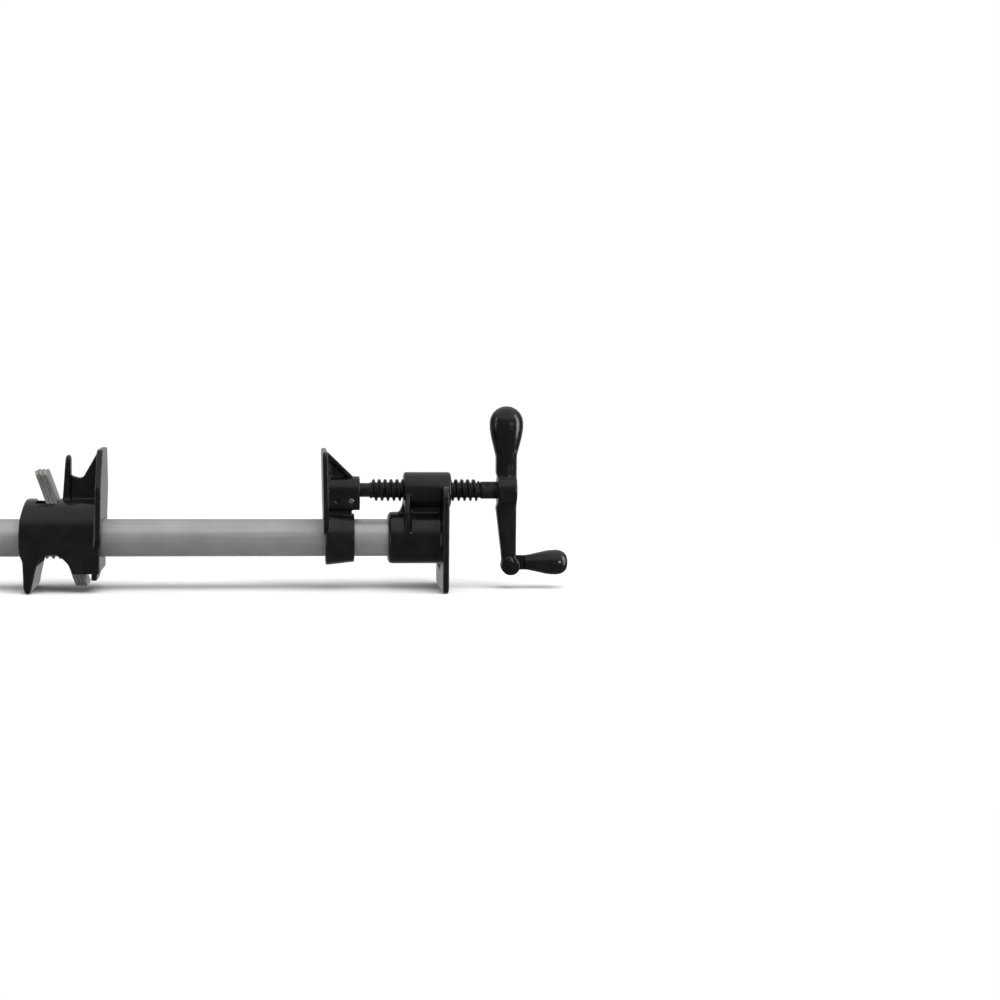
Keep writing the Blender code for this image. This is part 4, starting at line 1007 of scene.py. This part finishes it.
@dataclass
class TailStop:
    """The sliding stop: its casting, three clutch plates and their spring."""

    casting: Casting = field(default_factory=lambda: Casting("tail_stop", Body.TAIL_STOP))
    plate_count: int = 3
    plate_rounding: float = 0.00035
    plate_edge_steps: int = 2
    plate_edge_angle: float = math.radians(50)
    lean: float = math.radians(19.5)
    wire: float = 0.0017
    curls: float = 5.0
    keep_share: float = 0.56

    def build(self, shop: Workshop) -> None:
        """Build the casting, the plates and the spring.

        Args:
            shop: The shared finishes and trees.
        """
        self.casting.build(shop)
        for index in range(1, self.plate_count + 1):
            self.build_plate(shop, f"clutch_plate_{index}")
        self.build_spring(shop)

    def build_plate(self, shop: Workshop, node: str) -> bpy.types.Object:
        """Round a clutch plate's edges, as pressing and tumbling leave them.

        Args:
            shop: The shared finishes and trees.
            node: The CAD node, which is also the name of the plate's body.

        Returns:
            The plate.
        """
        plate = merged_copy(node, f"{node}_body")
        bevel = plate.modifiers.new("edges", "BEVEL")
        bevel.width = self.plate_rounding
        bevel.segments = self.plate_edge_steps
        bevel.limit_method = "ANGLE"
        bevel.angle_limit = self.plate_edge_angle
        plate = settled(plate)
        plate.data.set_sharp_from_angle(angle=self.plate_edge_angle)
        return shop.finishes.dress(plate, shop.finishes.zinc, node, node)

    def build_spring(self, shop: Workshop) -> bpy.types.Object:
        """Wind the spring between the housing's end wall and the plates.

        Args:
            shop: The shared finishes and trees.

        Returns:
            The spring.
        """
        low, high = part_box("clutch_spring")
        radius = (high.y - low.y) / 2 - self.wire / 2
        height = (low.z + high.z) / 2
        reach = math.tan(self.lean)
        start = low.x + self.wire / 2
        end = high.x - self.wire / 2 - radius * reach
        holder = mesh_object("spring_wire", bpy.data.meshes.new("spring_wire"))
        spring = shop.springs.run(holder, {
            "Start": start, "End": end, "Lean": reach, "Radius": radius,
            "Wire Radius": self.wire / 2, "Axis Height": height, "Curls": self.curls,
            "Finish": shop.finishes.spring,
        })
        shop.finishes.dress(spring, shop.finishes.spring, Body.TAIL_STOP, "clutch_spring")
        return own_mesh(spring)


@dataclass(frozen=True)
class Softbox:
    """A rectangular soft light that points at the middle of the clamp, with its power in watts."""

    name: str
    place: tuple
    width: float
    height: float
    power: float


@dataclass
class Studio:
    """The floor, the light and the camera."""

    camera_place: tuple = (-0.115, -1.501, 0.181)
    lens: float = 75.6
    sensor_width: float = 36
    view_distance: float = 80
    yaw: float = math.radians(5.94)
    pitch: float = math.radians(-4.43)
    roll: float = math.radians(0.51)
    floor_radius: float = 0.80
    floor_faces: int = 96
    floor_colour: tuple = (0.86, 0.86, 0.87, 1)
    floor_roughness: float = 0.9
    sun_turn: tuple = (math.radians(28), math.radians(14), 0)
    sun_strength: float = 2.4
    sun_spread: float = math.radians(50)
    softboxes: tuple = (
        Softbox("glint", (0.75, -1.25, 0.18), 0.10, 0.10, 1.4),
        Softbox("right", (1.25, -0.25, 0.35), 0.36, 1.50, 10.0),
        Softbox("left", (-1.35, -0.15, 0.20), 0.20, 1.20, 3.6),
    )
    room_colour: tuple = (1, 1, 1, 1)
    room_glow: float = 0.12
    ceiling_glow: float = 0.68
    ceiling_start: float = 0.14
    ceiling_full: float = 0.80
    backdrop_glow: float = 0.48
    backdrop_start: float = 0.60
    backdrop_full: float = 0.85

    def build(self) -> None:
        """Build the floor, the light and the camera."""
        self.build_floor()
        self.build_light()
        self.build_camera()
        bpy.context.scene.view_settings.view_transform = "Standard"

    def build_floor(self) -> None:
        """Lay a plain pale floor."""
        middle = (CAD_BOX[0].x + CAD_BOX[1].x) / 2
        work = bmesh.new()
        bmesh.ops.create_circle(work, cap_ends=True, radius=self.floor_radius,
                                segments=self.floor_faces)
        work.transform(Matrix.Translation((middle, 0, 0)))
        mesh = bpy.data.meshes.new("floor")
        work.to_mesh(mesh)
        work.free()
        floor = mesh_object("floor", mesh)
        floor.visible_glossy = False
        look = bpy.data.materials.new("floor_paint")
        look.use_nodes = True
        shader = look.node_tree.nodes["Principled BSDF"]
        shader.inputs["Base Color"].default_value = self.floor_colour
        shader.inputs["Roughness"].default_value = self.floor_roughness
        shader.inputs["Specular IOR Level"].default_value = 0.0
        mesh.materials.append(look)

    def build_light(self) -> None:
        """Hang the soft lights and set the dim room around them."""
        world = bpy.data.worlds.new("studio")
        bpy.context.scene.world = world
        world.use_nodes = True
        nodes = NodeMaker(world.node_tree)
        glow = world.node_tree.nodes["Background"]
        place = nodes.node("ShaderNodeSeparateXYZ")
        nodes.feed(place.inputs["Vector"], nodes.node("ShaderNodeTexCoord").outputs["Generated"])
        ceiling = nodes.mapped(place.outputs["Z"], (self.ceiling_start, self.ceiling_full),
                               (0, self.ceiling_glow), "SMOOTHSTEP")
        backdrop = nodes.mapped(place.outputs["Y"], (self.backdrop_start, self.backdrop_full),
                                (0, self.backdrop_glow), "SMOOTHSTEP")
        room = nodes.sum("MAXIMUM", nodes.sum("MAXIMUM", ceiling, backdrop), self.room_glow)
        seen = nodes.node("ShaderNodeLightPath").outputs["Is Camera Ray"]
        nodes.feed(glow.inputs["Color"], self.room_colour)
        nodes.feed(glow.inputs["Strength"], nodes.sum("MAXIMUM", room, seen))
        self.hang_sun()
        for box in self.softboxes:
            self.hang_softbox(box)

    def hang_sun(self) -> None:
        """Add the soft sun, which lights the clamp but isn't mirrored in it."""
        lamp = bpy.data.lights.new("sun", "SUN")
        lamp.energy = self.sun_strength
        lamp.angle = self.sun_spread
        holder = bpy.data.objects.new("sun", lamp)
        holder.rotation_euler = self.sun_turn
        holder.visible_glossy = False
        bpy.context.scene.collection.objects.link(holder)

    def hang_softbox(self, box: Softbox) -> None:
        """Hang a soft light that the camera doesn't see.

        Args:
            box: Its name, place, size and power.
        """
        lamp = bpy.data.lights.new(box.name, "AREA")
        lamp.shape = "RECTANGLE"
        lamp.size = box.width
        lamp.size_y = box.height
        lamp.energy = box.power
        holder = bpy.data.objects.new(box.name, lamp)
        holder.location = box.place
        target = Vector((0, 0, CAD_BOX[1].z / 2))
        holder.rotation_euler = (target - Vector(box.place)).to_track_quat("-Z", "Y").to_euler()
        holder.visible_camera = False
        bpy.context.scene.collection.objects.link(holder)

    def build_camera(self) -> None:
        """Place the camera at the photograph's viewing angle."""
        forward = Vector((math.sin(self.yaw) * math.cos(self.pitch),
                          math.cos(self.yaw) * math.cos(self.pitch), math.sin(self.pitch)))
        right = Vector((math.cos(self.yaw), -math.sin(self.yaw), 0))
        up = right.cross(forward)
        tilted_right = right * math.cos(self.roll) + up * math.sin(self.roll)
        tilted_up = up * math.cos(self.roll) - right * math.sin(self.roll)
        turn = Matrix((tilted_right, tilted_up, -forward)).transposed()
        lens = bpy.data.cameras.new("camera")
        lens.sensor_width = self.sensor_width
        lens.lens = self.lens
        lens.clip_end = self.view_distance
        camera = bpy.data.objects.new("camera", lens)
        camera.matrix_world = Matrix.Translation(self.camera_place) @ turn.to_4x4()
        bpy.context.scene.collection.objects.link(camera)
        bpy.context.scene.camera = camera


def main() -> None:
    """Build the sub-assemblies, then the studio."""
    logging.basicConfig(level=logging.INFO, format="%(name)s: %(message)s")
    shop = Workshop(Finishes(), ThreadCutter(), SpringWinder())
    for assembly in (Head(), FrontJaw(), ScrewAndCrank(), TailStop()):
        assembly.build(shop)
    Studio().build()


if __name__ == "__main__":
    main()
